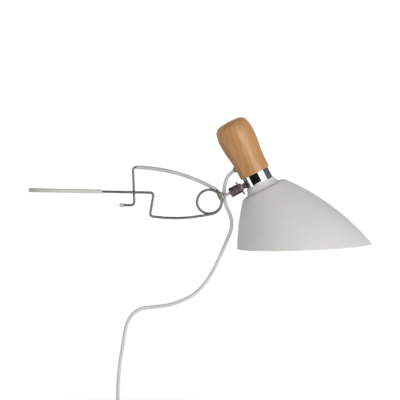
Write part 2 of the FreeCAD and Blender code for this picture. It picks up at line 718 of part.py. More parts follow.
rod = turned(
    "support_rod",
    [
        ("0", "0"),
        ("rod_r", "0"),
        ("rod_r", "barrel_start + groove_at - groove_half - ( clamp_face - rod_seat )"),
        ("rod_r - groove_depth", "barrel_start + groove_at - groove_half - ( clamp_face - rod_seat )"),
        ("rod_r - groove_depth", "barrel_start + groove_at + groove_half - ( clamp_face - rod_seat )"),
        ("rod_r", "barrel_start + groove_at + groove_half - ( clamp_face - rod_seat )"),
        ("rod_r", "barrel_start + rod_in_knuckle - ( clamp_face - rod_seat )"),
        ("0", "barrel_start + rod_in_knuckle - ( clamp_face - rod_seat )"),
    ],
)
rod.Placement = Placement(Vector(value("clamp_face - rod_seat"), 0, 0), ALONG_X)
node(rod, "support_rod", ROD_FRAME)

# ---------------------------------------------------------------------------------------------
# The knuckle, its lock screw and tommy bar
# ---------------------------------------------------------------------------------------------
knuckle = cut(
    cylinder("barrel_r", "barrel_length", x="barrel_start", turn=ALONG_X),
    block(
        "barrel_end - slot_floor + 1",
        "slot_width",
        "3 * barrel_r",
        x="( barrel_end + slot_floor + 1 ) / 2",
        z="0 - 1.5 * barrel_r",
    ),
    cylinder("rod_r + running_gap", "rod_in_knuckle + 0.4", x="barrel_start", turn=ALONG_X),
    cylinder("grip_screw_r", "barrel_r + 1", x="barrel_start + groove_at", turn=ALONG_PLUS_Y),
    cylinder("pin_r + running_gap", "3 * barrel_r", x="pivot_at", y="1.5 * barrel_r", turn=ALONG_MINUS_Y),
    cylinder("lock_washer_r + 0.4", "barrel_r", x="pivot_at", y="0 - lock_seat", turn=ALONG_MINUS_Y),
    cylinder("lock_washer_r + 0.4", "barrel_r", x="pivot_at", y="lock_seat", turn=ALONG_PLUS_Y),
)
node(knuckle, "knuckle_body", ROD_FRAME)

grub = turned(
    "knuckle_grub_screw",
    [
        ("0", "rod_r - groove_depth + grip_tip_gap"),
        ("grip_tip_r", "rod_r - groove_depth + grip_tip_gap"),
        ("grip_tip_r", "rod_r + 0.6"),
        ("grip_screw_r", "rod_r + 0.6"),
        ("grip_screw_r", "barrel_r - 0.3"),
        ("0", "barrel_r - 0.3"),
    ],
)
grub.Placement = Placement(Vector(value("barrel_start + groove_at"), 0, 0), ALONG_PLUS_Y)
node(grub, "knuckle_grub_screw", ROD_FRAME)

lock_screw = cut(
    joined(
        cylinder(
            "pin_r",
            "lock_head_at + lock_seat + 2.8",
            x="pivot_at",
            y="lock_seat + 2.8",
            turn=ALONG_MINUS_Y,
        ),
        cylinder(
            "lock_head_r", "lock_head_length", x="pivot_at", y="0 - lock_head_at", turn=ALONG_MINUS_Y
        ),
    ),
    cylinder("bar_r", "3 * barrel_r", x="pivot_at", y="0 - bar_at", z="0 - 1.5 * barrel_r"),
)
BAR_TURN = Rotation(Vector(0, 1, 0), value("bar_angle") - 90)
PIVOT = Vector(value("pivot_at"), 0, 0)
TURNED_BAR = Placement(PIVOT - BAR_TURN.multVec(PIVOT), BAR_TURN)
node(lock_screw, "lock_screw", ROD_FRAME.multiply(TURNED_BAR))

bar = group(
    cylinder("bar_r", "bar_length", x="pivot_at", y="0 - bar_at", z="0 - bar_length / 2"),
)
node(bar, "tommy_bar", ROD_FRAME.multiply(TURNED_BAR))

washer = turned(
    "lock_washer",
    tube_outline("pin_r + running_gap", "lock_washer_r", "lock_seat", "lock_seat + lock_washer_t"),
)
washer.Placement = Placement(PIVOT, ALONG_MINUS_Y)
node(washer, "lock_washer", ROD_FRAME)

lock_nut = cut(
    doc.addObject("Part::Prism", "hexagon"),
    cylinder("pin_r", "3"),
)
bind(lock_nut.Base, Circumradius="lock_washer_r", Height="2.4")
lock_nut.Placement = Placement(PIVOT + Vector(0, value("lock_seat + part_gap"), 0), ALONG_PLUS_Y)
node(lock_nut, "lock_nut", ROD_FRAME)

lug = cut(
    joined(
        cylinder("tongue_r", "tongue_width", x="pivot_at", y="tongue_width / 2", turn=ALONG_MINUS_Y),
        block(
            "lug_seat_at - pivot_at - 1",
            "tongue_width",
            "2 * tongue_half",
            x="( lug_seat_at + pivot_at - 1 ) / 2",
            z="0 - tongue_half",
        ),
        cylinder("lug_boss_r", "lug_boss_length", x="lug_seat_at - lug_boss_length", turn=ALONG_X),
        cylinder("stud_r", "collar_wall - flat_depth + 1", x="lug_seat_at - 1", turn=ALONG_X),
    ),
    cylinder("pin_r + running_gap", "2 * tongue_width", x="pivot_at", y="tongue_width", turn=ALONG_MINUS_Y),
)
node(lug, "head_lug", ROD_FRAME)

# ---------------------------------------------------------------------------------------------
# The head: neck ring, collar, handle
# ---------------------------------------------------------------------------------------------
node(
    turned(
        "neck_ring",
        [
            ("holder_r + part_gap", "0"),
            ("neck_foot_r", "0"),
            ("neck_foot_r", "1", "neck_curve_r", -1),
            ("neck_top_r", "neck_length"),
            ("holder_r + part_gap", "neck_length"),
        ],
    ),
    "neck_ring",
    HEAD_FRAME,
)

collar_ring = turned(
    "collar_ring",
    [
        ("collar_r - collar_wall", "neck_length"),
        ("collar_r", "neck_length"),
        ("collar_r", "collar_top"),
        ("nipple_r", "collar_top"),
        ("nipple_r", "flange_under"),
        ("collar_r - collar_wall", "flange_under"),
    ],
)


def around_axis(count, radius, turn_start=0):
    """Places evenly round the head's axis, as plain numbers."""
    for step in range(count):
        angle = math.radians(turn_start + 360 * step / count)
        yield radius * math.cos(angle), radius * math.sin(angle)


SCREW_PLACES = list(around_axis(3, value("screw_circle"), 90))
collar = cut(
    collar_ring,
    cylinder(
        "lug_boss_r + 0.2",
        "collar_r",
        x="flat_depth - 2 * collar_r",
        z="axis_z",
        turn=ALONG_X,
    ),
    cylinder("stud_r", "2 * collar_wall", x="0 - collar_r - collar_wall / 2", z="axis_z", turn=ALONG_X),
    *[cylinder("1.8", "6", x=f"{x:.6f}", y=f"{y:.6f}", z="flange_under - 2") for x, y in SCREW_PLACES],
)
node(collar, "chrome_collar", HEAD_FRAME)

screws = []
for x, y in SCREW_PLACES:
    place = {"x": f"{x:.6f}", "y": f"{y:.6f}"}
    screws.append(
        joined(
            cylinder("3", "1.6", z="flange_under - 1.6", **place),
            cylinder("1.8", "14", z="flange_under - 0.5", **place),
        )
    )
node(group(*screws), "collar_screws", HEAD_FRAME)

GLAND_TURN = Rotation(Vector(0, 0, 1), 180 - value("gland_turn")).multiply(ALONG_X)
handle_shape = turned(
    "handle_shape",
    [
        ("0", "collar_top + bore_depth"),
        ("bore_r", "collar_top + bore_depth"),
        ("bore_r", "collar_top"),
        ("handle_end_r", "collar_top"),
        ("handle_end_r", "swell_start_z", "swell_curve_r", -1),
        ("handle_end_r + swell_r / 2", "swell_start_z + swell_rise / 2", "swell_curve_r", 1),
        ("handle_max_r", "collar_top + handle_widest", "crown_r", 1),
        ("handle_top_r", "handle_top_z", "corner_r", 1),
        ("dome_edge_r", "dome_edge_z", "dome_r", 1),
        ("0", "dome_top_z"),
    ],
)
handle = cut(
    handle_shape,
    cylinder("gland_r", "2 * gland_seat", z="gland_z", turn=GLAND_TURN),
    *[cylinder("1.8", "14", x=f"{x:.6f}", y=f"{y:.6f}", z="flange_under - 0.5") for x, y in SCREW_PLACES],
)
seat_cut = cylinder("gland_flange_r + part_gap", "gland_seat", turn=GLAND_TURN)
seat_way = GLAND_TURN.multVec(Vector(0, 0, 1))
bind(
    seat_cut,
    x=f"gland_seat * {seat_way.x:.6f}",
    y=f"gland_seat * {seat_way.y:.6f}",
    z="gland_z",
)
handle = cut(handle, seat_cut)
node(handle, "wood_handle", HEAD_FRAME)

node(
    turned("handle_insert", tube_outline("nipple_r", "bore_r", "collar_top", "collar_top + insert_length")),
    "handle_insert",
    HEAD_FRAME,
)
node(
    turned(
        "nipple",
        tube_outline("nipple_bore_r", "nipple_r", "flange_under - nipple_drop", "collar_top + nipple_rise"),
    ),
    "nipple",
    HEAD_FRAME,
)
nut_blank = doc.addObject("Part::Prism", "nut_blank")
bind(nut_blank, Circumradius="nut_flats / 1.7320508", Height="nut_t", z="flange_under - nut_t")
nut_bore = cylinder("nipple_r", "nut_t + 2", z="flange_under - nut_t - 1")
node(cut(nut_blank, nut_bore), "nipple_nut", HEAD_FRAME)

# ---------------------------------------------------------------------------------------------
# The shade and the lampholder
# ---------------------------------------------------------------------------------------------
shade_shape = turned(
    "shade_shape",
    [
        ("holder_r + part_gap", "0"),
        ("shade_flat_r", "0", "shoulder_r", -1),
        ("shoulder_end_r", "shoulder_end_z", "shade_curve_r", -1),
        ("curve_end_r", "curve_end_z"),
        ("inner_end_r", "inner_end_z", "inner_curve_r", 1),
        ("inner_shoulder_end_r", "inner_shoulder_end_z", "inner_shoulder_r", 1),
        ("shade_flat_r", "0 - shade_wall"),
        ("holder_r + part_gap", "0 - shade_wall"),
    ],
)
rim_cutter = doc.addObject("Part::Box", "rim_cutter")
rim_cutter.Placement = Placement(Vector(), Rotation(Vector(0, 1, 0), value("rim_slant")))
bind(
    rim_cutter,
    Length="4 * curve_end_r",
    Width="4 * curve_end_r",
    Height="2 * rim_depth",
    x="0 - 2 * curve_end_r * rim_cos - 2 * rim_depth * rim_sin",
    y="0 - 2 * curve_end_r",
    z="2 * curve_end_r * rim_sin - 2 * rim_depth * rim_cos - rim_depth",
)
rim_cutter.setExpression("Placement.Rotation.Angle", "Dimensions.rim_slant")
node(cut(shade_shape, rim_cutter), "shade", HEAD_FRAME)

node(
    turned(
        "lampholder_body",
        [
            ("holder_r - holder_wall", "0 - holder_drop"),
            ("holder_r", "0 - holder_drop"),
            ("holder_r", "holder_rise"),
            ("spigot_r", "holder_rise"),
            ("spigot_r", "holder_rise + spigot_length"),
            ("spigot_r - spigot_wall", "holder_rise + spigot_length"),
            ("spigot_r - spigot_wall", "insulator_top"),
            ("holder_r - holder_wall", "insulator_top"),
        ],
    ),
    "lampholder_body",
    HEAD_FRAME,
)
node(
    turned(
        "lampholder_cap",
        [
            ("spigot_r", "holder_rise"),
            ("holder_cap_r", "holder_rise"),
            ("holder_cap_r", "flange_under - nut_t - part_gap"),
            ("nipple_r", "flange_under - nut_t - part_gap"),
            ("nipple_r", "flange_under - nut_t - part_gap - 1.6"),
            ("spigot_r", "flange_under - nut_t - part_gap - 1.6"),
        ],
    ),
    "lampholder_cap",
    HEAD_FRAME,
)
notches = [
    cylinder(
        "notch_r",
        "ring_length + 2",
        x=f"ring_r * {x:.6f}",
        y=f"ring_r * {y:.6f}",
        z="0 - ring_length - 3",
    )
    for x, y in around_axis(12, 1)
]
node(
    cut(
        turned(
            "shade_ring_blank",
            tube_outline("holder_r", "ring_r", "0 - shade_wall - ring_length", "0 - shade_wall"),
        ),
        *notches,
    ),
    "shade_ring",
    HEAD_FRAME,
)
node(
    joined(
        cylinder("holder_r - holder_wall", "insulator_t", z="insulator_under"),
        cylinder("insulator_boss_r", "insulator_boss + 1", z="insulator_top - 1"),
    ),
    "insulator",
    HEAD_FRAME,
)
node(
    turned(
        "screw_shell",
        tube_outline("shell_r - shell_wall", "shell_r", "0 - holder_drop + 2", "insulator_under"),
    ),
    "screw_shell",
    HEAD_FRAME,
)
contact_outline = tube_outline("0", "contact_r", "bulb_top", "insulator_under")
node(turned("centre_contact", contact_outline), "centre_contact", HEAD_FRAME)
terminals = [
    cylinder("terminal_r", "terminal_length", x=f"terminal_at * {side}", z="insulator_top + insulator_boss")
    for side in (-1, 1)
]
node(group(*terminals), "terminal_screws", HEAD_FRAME)

node(
    turned("bulb_contact", tube_outline("0", "contact_r", "bulb_top - bulb_tip", "bulb_top")),
    "bulb_contact",
    HEAD_FRAME,
)
node(
    turned("bulb_cap", tube_outline("0", "bulb_cap_r", "bulb_cap_end", "bulb_top - bulb_tip")),
    "bulb_cap",
    HEAD_FRAME,
)
node(
    turned(
        "bulb_glass",
        [
            ("0", "bulb_cap_end"),
            ("bulb_cap_r - 0.6", "bulb_cap_end"),
            ("glass_neck_r", "glass_neck_z", "bulb_r", -1),
            ("0", "bulb_centre - bulb_r"),
        ],
    ),
    "bulb_glass",
    HEAD_FRAME,
)

# ---------------------------------------------------------------------------------------------
# The cord, from the handle to the plug
# ---------------------------------------------------------------------------------------------
CORD_R = value("cord_r")
GLAND_FRAME = HEAD_FRAME.multiply(Placement(Vector(0, 0, value("gland_z")), GLAND_TURN))
node(
    turned(
        "cord_gland",
        [
            ("cord_r", "gland_inner"),
            ("gland_r", "gland_inner"),
            ("gland_r", "gland_seat"),
            ("gland_flange_r", "gland_seat"),
            ("gland_flange_r", "gland_out"),
            ("gland_r - 0.3", "gland_out"),
            ("cord_r + 0.6", "gland_end"),
            ("cord_r", "gland_end"),
        ],
    ),
    "cord_gland",
    GLAND_FRAME,
)


def along_gland(reach):
    return GLAND_FRAME.multVec(Vector(0, 0, reach))


def cord_route(points, label):
    """A cord's centre line, with the smallest bend and the length printed."""
    radii = widest_radii(points, 0.45)
    path = route(points, radii)
    print(label, "length", round(path.Length, 1), "bends", [round(radius) for radius in radii])
    return path


# Where the cord passes behind the rod; the head's own play ends here.
CROSSING = Vector(145.4, 9.6, 3)
upper_points = [
    along_gland(value("cord_start")),
    along_gland(value("gland_end") + 6),
    Vector(146.6, 9, 17.5),
    CROSSING,
]
upper_route = cord_route(upper_points, "cord_upper")
formed("cord_upper", swept(upper_route, CORD_R))

TAIL_Y = value("tail_y")
LAY_Z = value("lay_z")
SWITCH_Z = value("switch_axis_z")
SWITCH_FROM = value("switch_x - switch_length / 2")
SWITCH_TO = value("switch_x + switch_length / 2")
lower_points = [
    CROSSING,
    CROSSING + (CROSSING - upper_points[-2]) * 0.95,
    Vector(160.5, 9.8, -44),
    Vector(146.4, 9.9, -79),
    Vector(127.5, 9.9, -121.5),
    Vector(104, 9.8, -151),
    Vector(72, 9.6, -166),
    Vector(44, 9.4, -170.2),
    Vector(17, 9.2, -172.5),
    Vector(0, 9, -191),
    Vector(-5, 9, -222),
    Vector(-11, 9, -258),
    Vector(-14, 8.5, -298),
    Vector(-12, 7, -334),
    Vector(8, TAIL_Y + 1, SWITCH_Z),
    Vector(SWITCH_FROM + 6, TAIL_Y, SWITCH_Z),
    Vector(SWITCH_TO - 6, TAIL_Y - 0.01, SWITCH_Z),
    Vector(SWITCH_TO + 11, TAIL_Y, SWITCH_Z - 1.2),
    Vector(value("coil_centre_x") - 10, TAIL_Y, LAY_Z),
]
lower_route = cord_route(lower_points, "cord_lower")
formed("cord_lower", swept(lower_route, CORD_R))

hank = turned(
    "cord_coil",
    [
        ("hank_r - hank_half", "coil_under + hank_corner", "hank_corner", -1),
        ("hank_r - hank_half + hank_corner", "coil_under"),
        ("hank_r + hank_half - hank_corner", "coil_under", "hank_corner", 1),
        ("hank_r + hank_half", "coil_under + hank_corner"),
        ("hank_r + hank_half", "coil_under + hank_height - hank_corner", "hank_corner", 1),
        ("hank_r + hank_half - hank_corner", "coil_under + hank_height"),
        ("hank_r - hank_half + hank_corner", "coil_under + hank_height", "hank_corner", 1),
        ("hank_r - hank_half", "coil_under + hank_height - hank_corner"),
    ],
)
COIL_FRAME = Placement(Vector(value("coil_centre_x"), value("coil_centre_y"), 0), Rotation())
node(hank, "cord_coil", COIL_FRAME)

tie = cut(
    block(
        "2 * ( hank_half + tie_t )",
        "tie_width",
        "hank_height + 2 * tie_t",
        x="0 - hank_r",
        z="coil_under - tie_t",
    ),
    block("2 * hank_half", "tie_width + 2", "hank_height", x="0 - hank_r", z="coil_under"),
)
node(tie, "cord_tie", COIL_FRAME.multiply(Placement(Vector(), Rotation(Vector(0, 0, 1), -20))))

PLUG_Z = value("plug_axis_z")
RELIEF_FROM = value("plug_x + relief_length")
tail_points = [
    Vector(value("coil_centre_x") - 8, value("plug_y"), LAY_Z + value("cord_d")),
    Vector(value("coil_centre_x") - 21, value("plug_y"), PLUG_Z + 0.5),
    Vector(RELIEF_FROM - 4, value("plug_y") + 0.01, PLUG_Z),
]
tail_route = cord_route(tail_points, "cord_tail")
formed("cord_tail", swept(tail_route, CORD_R))

PLUG_FRAME = Placement(
    Vector(value("plug_x"), value("plug_y"), PLUG_Z), Rotation(Vector(0, 1, 0), -90)
)
node(
    turned(
        "plug_relief",
        [
            ("0", "4 - relief_length"),
            ("cord_r", "4 - relief_length"),
            ("cord_r", "0 - relief_length"),
            ("cord_r + relief_wall", "0 - relief_length"),
            ("relief_r", "0"),
            ("0", "0"),
        ],
    ),
    "plug_relief",
    PLUG_FRAME,
)
plug_block, _ = padded_outline(
    "plug_block",
    "YZ_Plane",
    [
        ("0 - plug_tail_width / 2", "0"),
        ("plug_tail_width / 2", "0", "plug_width / 2", 1),
        ("plug_width / 2", "plug_length * 0.4"),
        ("plug_width / 2", "plug_length"),
        ("0 - plug_width / 2", "plug_length"),
        ("0 - plug_width / 2", "plug_length * 0.4", "plug_width / 2", 1),
    ],
    "plug_t",
)
bind(plug_block, x="0 - plug_t / 2")


def plug_pins():
    """The two pins, each with a thicker root inside the plug's body."""
    return [
        joined(
            cylinder(
                "plug_pin_r",
                "plug_pin_length + plug_pin_seat",
                y=f"pin_spacing / 2 * {side}",
                z="plug_length - plug_pin_seat",
            ),
            cylinder(
                "plug_pin_r + 0.4",
                "plug_pin_seat",
                y=f"pin_spacing / 2 * {side}",
                z="plug_length - plug_pin_seat",
            ),
        )
        for side in (-1, 1)
    ]


node(cut(plug_block, *plug_pins()), "plug_body", PLUG_FRAME)
node(group(*plug_pins()), "plug_pins", PLUG_FRAME)

# ---------------------------------------------------------------------------------------------
# The inline switch
# ---------------------------------------------------------------------------------------------
SWITCH_FRAME = Placement(Vector(value("switch_x"), TAIL_Y, SWITCH_Z), Rotation())


def switch_half(name):
    """Half of the switch's housing, padded up from the split."""
    half_x, half_y, round_r = "switch_length / 2", "switch_width / 2", "switch_corner"
    corners = []
    for side_x, side_y in ((1, -1), (1, 1), (-1, 1), (-1, -1)):
        long_end = (f"{side_x} * {half_x}", f"{side_y} * ( {half_y} - {round_r} )")
        wide_end = (f"{side_x} * ( {half_x} - {round_r} )", f"{side_y} * {half_y}")
        first, second = (wide_end, long_end) if side_x * side_y < 0 else (long_end, wide_end)
        corners += [(*first, round_r, 1), second]
    half, pad = padded_outline(name, "XY_Plane", corners, "switch_height / 2")
    return half


def switch_channel():
    return cylinder("cord_r", "2 * switch_length", x="0 - switch_length", turn=ALONG_X)


def switch_screws(radius="1.4"):
    """The two screws that hold the halves together, from underneath."""
    return [
        cylinder(
            radius,
            "switch_height - 4",
            x=f"( switch_length / 2 - 5 ) * {side}",
            y=f"( switch_width / 2 - 4.5 ) * {side}",
            z="0.4 - switch_height / 2",
        )
        for side in (-1, 1)
    ]


base_half = switch_half("switch_base_half")
base_half.Placement = Placement(Vector(), Rotation(Vector(1, 0, 0), 180))
base = cut(
    base_half,
    block("switch_length - 20", "switch_width - 4", "switch_height / 2 - 2", z="2 - switch_height / 2"),
    switch_channel(),
    *switch_screws(),
)
node(base, "switch_base", SWITCH_FRAME)

ROCKER_PIVOT = "switch_height / 2 - 1.6"
cover = cut(
    switch_half("switch_cover_half"),
    block("switch_length - 20", "switch_width - 4", "switch_height / 2 - 3"),
    block("rocker_length + 2 * rocker_gap", "rocker_width + 2 * rocker_gap", "switch_height"),
    cylinder("0.85", "rocker_width + 3.4", y="rocker_width / 2 + 1.7", z=ROCKER_PIVOT, turn=ALONG_MINUS_Y),
    switch_channel(),
    *switch_screws(),
)
node(cover, "switch_cover", SWITCH_FRAME)
node(group(*switch_screws()), "switch_screws", SWITCH_FRAME)

rocker_block, _ = padded_outline(
    "rocker_block",
    "XZ_Plane",
    [
        ("0 - rocker_length / 2", "-1"),
        ("-3", "-2.2"),
        ("3", "-2.2"),
        ("rocker_length / 2", "-1"),
        ("rocker_length / 2", "rocker_rise + 0.6", "4 * rocker_length", -1),
        ("0 - rocker_length / 2", "rocker_rise + 0.6"),
    ],
    "rocker_width",
)
bind(rocker_block, y="rocker_width / 2")
rocker = joined(
    rocker_block,
    cylinder("0.8", "rocker_width + 2.8", y="rocker_width / 2 + 1.4", turn=ALONG_MINUS_Y),
)
ROCKER_FRAME = SWITCH_FRAME.multiply(
    Placement(Vector(0, 0, value(ROCKER_PIVOT)), Rotation(Vector(0, 1, 0), -value("rocker_lean")))
)
node(rocker, "switch_rocker", ROCKER_FRAME)

# ---------------------------------------------------------------------------------------------
# The two leads inside the handle
# ---------------------------------------------------------------------------------------------
leads = []
TERMINAL_TOP = value("insulator_top + insulator_boss + terminal_length")
for side in (-1, 1):
    inner_end = along_gland(value("cord_start"))
    across = GLAND_FRAME.Rotation.multVec(Vector(0, 1.15 * side, 0))
    lead_points = [
        inner_end + across,
        along_gland(3.5) + across,
        HEAD_FRAME.multVec(Vector(-1.2, 1.4 * side, value("collar_top") + 4)),
        HEAD_FRAME.multVec(Vector(0, 1.4 * side, value("flange_under") - 8)),
        HEAD_FRAME.multVec(Vector(value("terminal_at") * side, 0, TERMINAL_TOP)),
    ]
    leads.append(swept(route(lead_points, widest_radii(lead_points, 0.45)), value("lead_r")))
formed("inner_leads", Part.makeCompound(leads))

# ---------------------------------------------------------------------------------------------
# Checks and export
# ---------------------------------------------------------------------------------------------
doc.recompute()
for thing in doc.Objects:
    if "Invalid" in thing.State or "Error" in thing.State:
        raise ValueError(f"{thing.Label} did not build")
os.makedirs("parts", exist_ok=True)
for thing in nodes:
    shape = thing.Shape
    if shape.isNull() or not shape.isValid() or not shape.Solids:
        raise ValueError(f"{thing.Label} has no sound solid")
    shape.exportStep(f"parts/{thing.Label}.step")
    print(f"{thing.Label:20s} {len(shape.Solids)} solid(s), {shape.Volume:10.1f} cubic mm")
print(len(nodes), "nodes")
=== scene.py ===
import math

import bmesh
import bpy
from mathutils import Matrix, Quaternion, Vector


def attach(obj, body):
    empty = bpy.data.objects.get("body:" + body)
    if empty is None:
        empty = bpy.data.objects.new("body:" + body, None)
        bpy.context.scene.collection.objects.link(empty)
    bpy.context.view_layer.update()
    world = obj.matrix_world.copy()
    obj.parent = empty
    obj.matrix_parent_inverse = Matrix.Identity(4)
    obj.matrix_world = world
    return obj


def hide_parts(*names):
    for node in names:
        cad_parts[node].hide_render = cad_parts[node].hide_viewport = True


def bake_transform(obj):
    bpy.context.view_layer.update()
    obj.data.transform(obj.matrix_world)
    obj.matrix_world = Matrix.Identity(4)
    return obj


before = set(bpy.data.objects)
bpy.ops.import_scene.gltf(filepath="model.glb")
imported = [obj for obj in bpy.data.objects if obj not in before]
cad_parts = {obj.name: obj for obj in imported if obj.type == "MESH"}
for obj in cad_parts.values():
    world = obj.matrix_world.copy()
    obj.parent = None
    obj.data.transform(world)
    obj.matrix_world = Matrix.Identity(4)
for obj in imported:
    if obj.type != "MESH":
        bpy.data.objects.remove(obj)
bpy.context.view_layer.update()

# ---------------------------------------------------------------------------------------------
# Places taken over from the CAD model, in metres
# ---------------------------------------------------------------------------------------------
HEAD_TILT = math.radians(27.3)
LEAN = Matrix.Rotation(-HEAD_TILT, 3, "Y")
COIL_CENTRE = Vector((0.1233, 0, -0.0129))
ROD_BASE = COIL_CENTRE - LEAN @ Vector((0, 0, 0.0025))
PIVOT_AT = 0.0502
HEAD_BASE = ROD_BASE + LEAN @ Vector((0.0802, 0, -0.0165))
ROD_FRAME = Matrix.Translation(ROD_BASE) @ LEAN.to_4x4()
HEAD_FRAME = Matrix.Translation(HEAD_BASE) @ LEAN.to_4x4()
FLOOR_Z = -0.360
CORD_D = 0.0053
CORD_R = CORD_D / 2

# ---------------------------------------------------------------------------------------------
# Camera
# ---------------------------------------------------------------------------------------------
camera_data = bpy.data.cameras.new("camera")
camera = bpy.data.objects.new("camera", camera_data)
bpy.context.scene.collection.objects.link(camera)
bpy.context.scene.camera = camera
camera_data.sensor_width = 36
camera_data.lens = 136.35
camera_data.clip_end = 50
camera.location = (0.1095, -2.25, 0.0651)
AIM = Vector((0.1095, 0, -0.0099))
camera.rotation_euler = (AIM - camera.location).to_track_quat("-Z", "Y").to_euler()


def link(thing):
    bpy.context.scene.collection.objects.link(thing)
    return thing


# ---------------------------------------------------------------------------------------------
# Cord
# ---------------------------------------------------------------------------------------------
GLAND_BASE = HEAD_FRAME @ Vector((0, 0, 0.0439))
GLAND_TURN = math.radians(180 - 12)
GLAND_WAY = LEAN @ Vector((math.cos(GLAND_TURN), math.sin(GLAND_TURN), 0))
GLAND_END = 0.0268
CROSSING = Vector((0.1454, 0.0096, 0.003))
TAIL_Y = 0.002
LAY_Z = -0.35655
SWITCH_Z = -0.3525
SWITCH_X = 0.060
COIL_X = 0.134
HANK_R = 0.030
OUTER_TURN = HANK_R + 1.5 * CORD_D
INNER_TURN = HANK_R - 1.5 * CORD_D
COIL_Y = TAIL_Y + OUTER_TURN
PLUG_Y = COIL_Y + OUTER_TURN
PLUG_Z = -0.35315
PLUG_X = 0.078

UPPER_POINTS = [
    GLAND_BASE + GLAND_WAY * 0.010,
    GLAND_BASE + GLAND_WAY * (GLAND_END + 0.006),
    Vector((0.1466, 0.009, 0.0175)),
    CROSSING,
]
LOWER_POINTS = [
    CROSSING,
    CROSSING + (CROSSING - UPPER_POINTS[-2]) * 0.95,
    (0.1605, 0.0098, -0.044),
    (0.1464, 0.0099, -0.079),
    (0.1275, 0.0099, -0.1215),
    (0.104, 0.0098, -0.151),
    (0.072, 0.0096, -0.166),
    (0.044, 0.0094, -0.1702),
    (0.017, 0.0092, -0.1725),
    (0.0, 0.009, -0.191),
    (-0.005, 0.009, -0.222),
    (-0.011, 0.009, -0.258),
    (-0.014, 0.0085, -0.298),
    (-0.012, 0.007, -0.334),
    (0.008, TAIL_Y + 0.001, SWITCH_Z),
    (0.035, TAIL_Y, SWITCH_Z),
    (0.085, TAIL_Y - 0.00001, SWITCH_Z),
    (0.102, TAIL_Y, SWITCH_Z - 0.0012),
]


def coil_turns():
    """The put-away turns: inwards on the surface, up at the inside, then outwards on top."""
    steps = 14
    inwards, climb, outwards = 3.0, 0.5, 3.0
    points = []
    for step in range(1, round((inwards + climb + outwards) * steps)):
        turn = step / steps
        if turn <= inwards:
            radius = OUTER_TURN - CORD_D * turn
        else:
            radius = INNER_TURN + CORD_D * max(turn - inwards - climb, 0)
        rise = min(max((turn - inwards + 0.05) / 0.42, 0), 1)
        height = LAY_Z + CORD_D * rise * rise * (3 - 2 * rise)
        angle = -math.pi / 2 + 2 * math.pi * turn
        points.append((COIL_X + radius * math.cos(angle), COIL_Y + radius * math.sin(angle), height))
    return points


TAIL_POINTS = [
    (COIL_X - 0.012, PLUG_Y, LAY_Z + CORD_D),
    (COIL_X - 0.024, PLUG_Y, PLUG_Z + 0.0005),
    (PLUG_X + 0.018, PLUG_Y, PLUG_Z),
]


def nurbs(name, points):
    """A smooth open curve with the points as its control points."""
    data = bpy.data.curves.new(name, "CURVE")
    data.dimensions = "3D"
    data.resolution_u = 10
    spline = data.splines.new("NURBS")
    spline.points.add(len(points) - 1)
    for control, place in zip(spline.points, points):
        control.co = (*place, 1)
    spline.order_u = 3
    spline.use_endpoint_u = True
    return link(bpy.data.objects.new(name, data))


def sampled(points, name="route"):
    """Points along the smooth curve through the control points."""
    curve = nurbs(name, points)
    mesh = bpy.data.meshes.new_from_object(curve)
    line = [vertex.co.copy() for vertex in mesh.vertices]
    bpy.data.meshes.remove(mesh)
    bpy.data.objects.remove(curve)
    return line


# ---------------------------------------------------------------------------------------------
# Mesh helpers
# ---------------------------------------------------------------------------------------------
def mesh_object(name, vertices, faces, sharp_deg=32):
    """A shaded mesh with crisp edges where its faces turn by more than the given angle."""
    data = bpy.data.meshes.new(name)
    data.from_pydata([tuple(v) for v in vertices], [], faces)
    data.validate()
    shape = bmesh.new()
    shape.from_mesh(data)
    bmesh.ops.recalc_face_normals(shape, faces=shape.faces)
    shape.to_mesh(data)
    shape.free()
    data.polygons.foreach_set("use_smooth", [True] * len(data.polygons))
    data.set_sharp_from_angle(angle=math.radians(sharp_deg))
    data.update()
    return link(bpy.data.objects.new(name, data))


def baked(thing):
    """The object with its modifiers applied."""
    bpy.context.view_layer.update()
    graph = bpy.context.evaluated_depsgraph_get()
    data = bpy.data.meshes.new_from_object(thing.evaluated_get(graph))
    old = thing.data
    thing.modifiers.clear()
    thing.data = data
    data.name = thing.name
    if old.users == 0:
        bpy.data.meshes.remove(old)
    return thing


def smooth_edges(thing, sharp_deg=32):
    thing.data.polygons.foreach_set("use_smooth", [True] * len(thing.data.polygons))
    thing.data.set_sharp_from_angle(angle=math.radians(sharp_deg))
    return thing


def arc(centre, radius, start_deg, end_deg, count=8):
    """Points of an arc in a profile, (radius, height) pairs."""
    points = []
    for step in range(count + 1):
        angle = math.radians(start_deg + (end_deg - start_deg) * step / count)
        points.append((centre[0] + radius * math.cos(angle), centre[1] + radius * math.sin(angle)))
    return points


def softened(corners, radius, count=3, closed=True):
    """A profile with each corner rounded by about the given radius."""
    points = []
    total = len(corners)
    for number, here in enumerate(corners):
        here = Vector(here[:2])
        if not closed and number in (0, total - 1):
            points.append(tuple(here))
            continue
        before = Vector(corners[number - 1][:2])
        after = Vector(corners[(number + 1) % total][:2])
        into = here - before
        out = after - here
        reach = min(radius, into.length * 0.45, out.length * 0.45)
        if into.length < 1e-9 or out.length < 1e-9 or abs(into.angle(out)) < math.radians(12):
            points.append(tuple(here))
            continue
        start = here - into.normalized() * reach
        end = here + out.normalized() * reach
        for step in range(count + 1):
            share = step / count
            point = start.lerp(here, share).lerp(here.lerp(end, share), share)
            points.append(tuple(point))
    return points


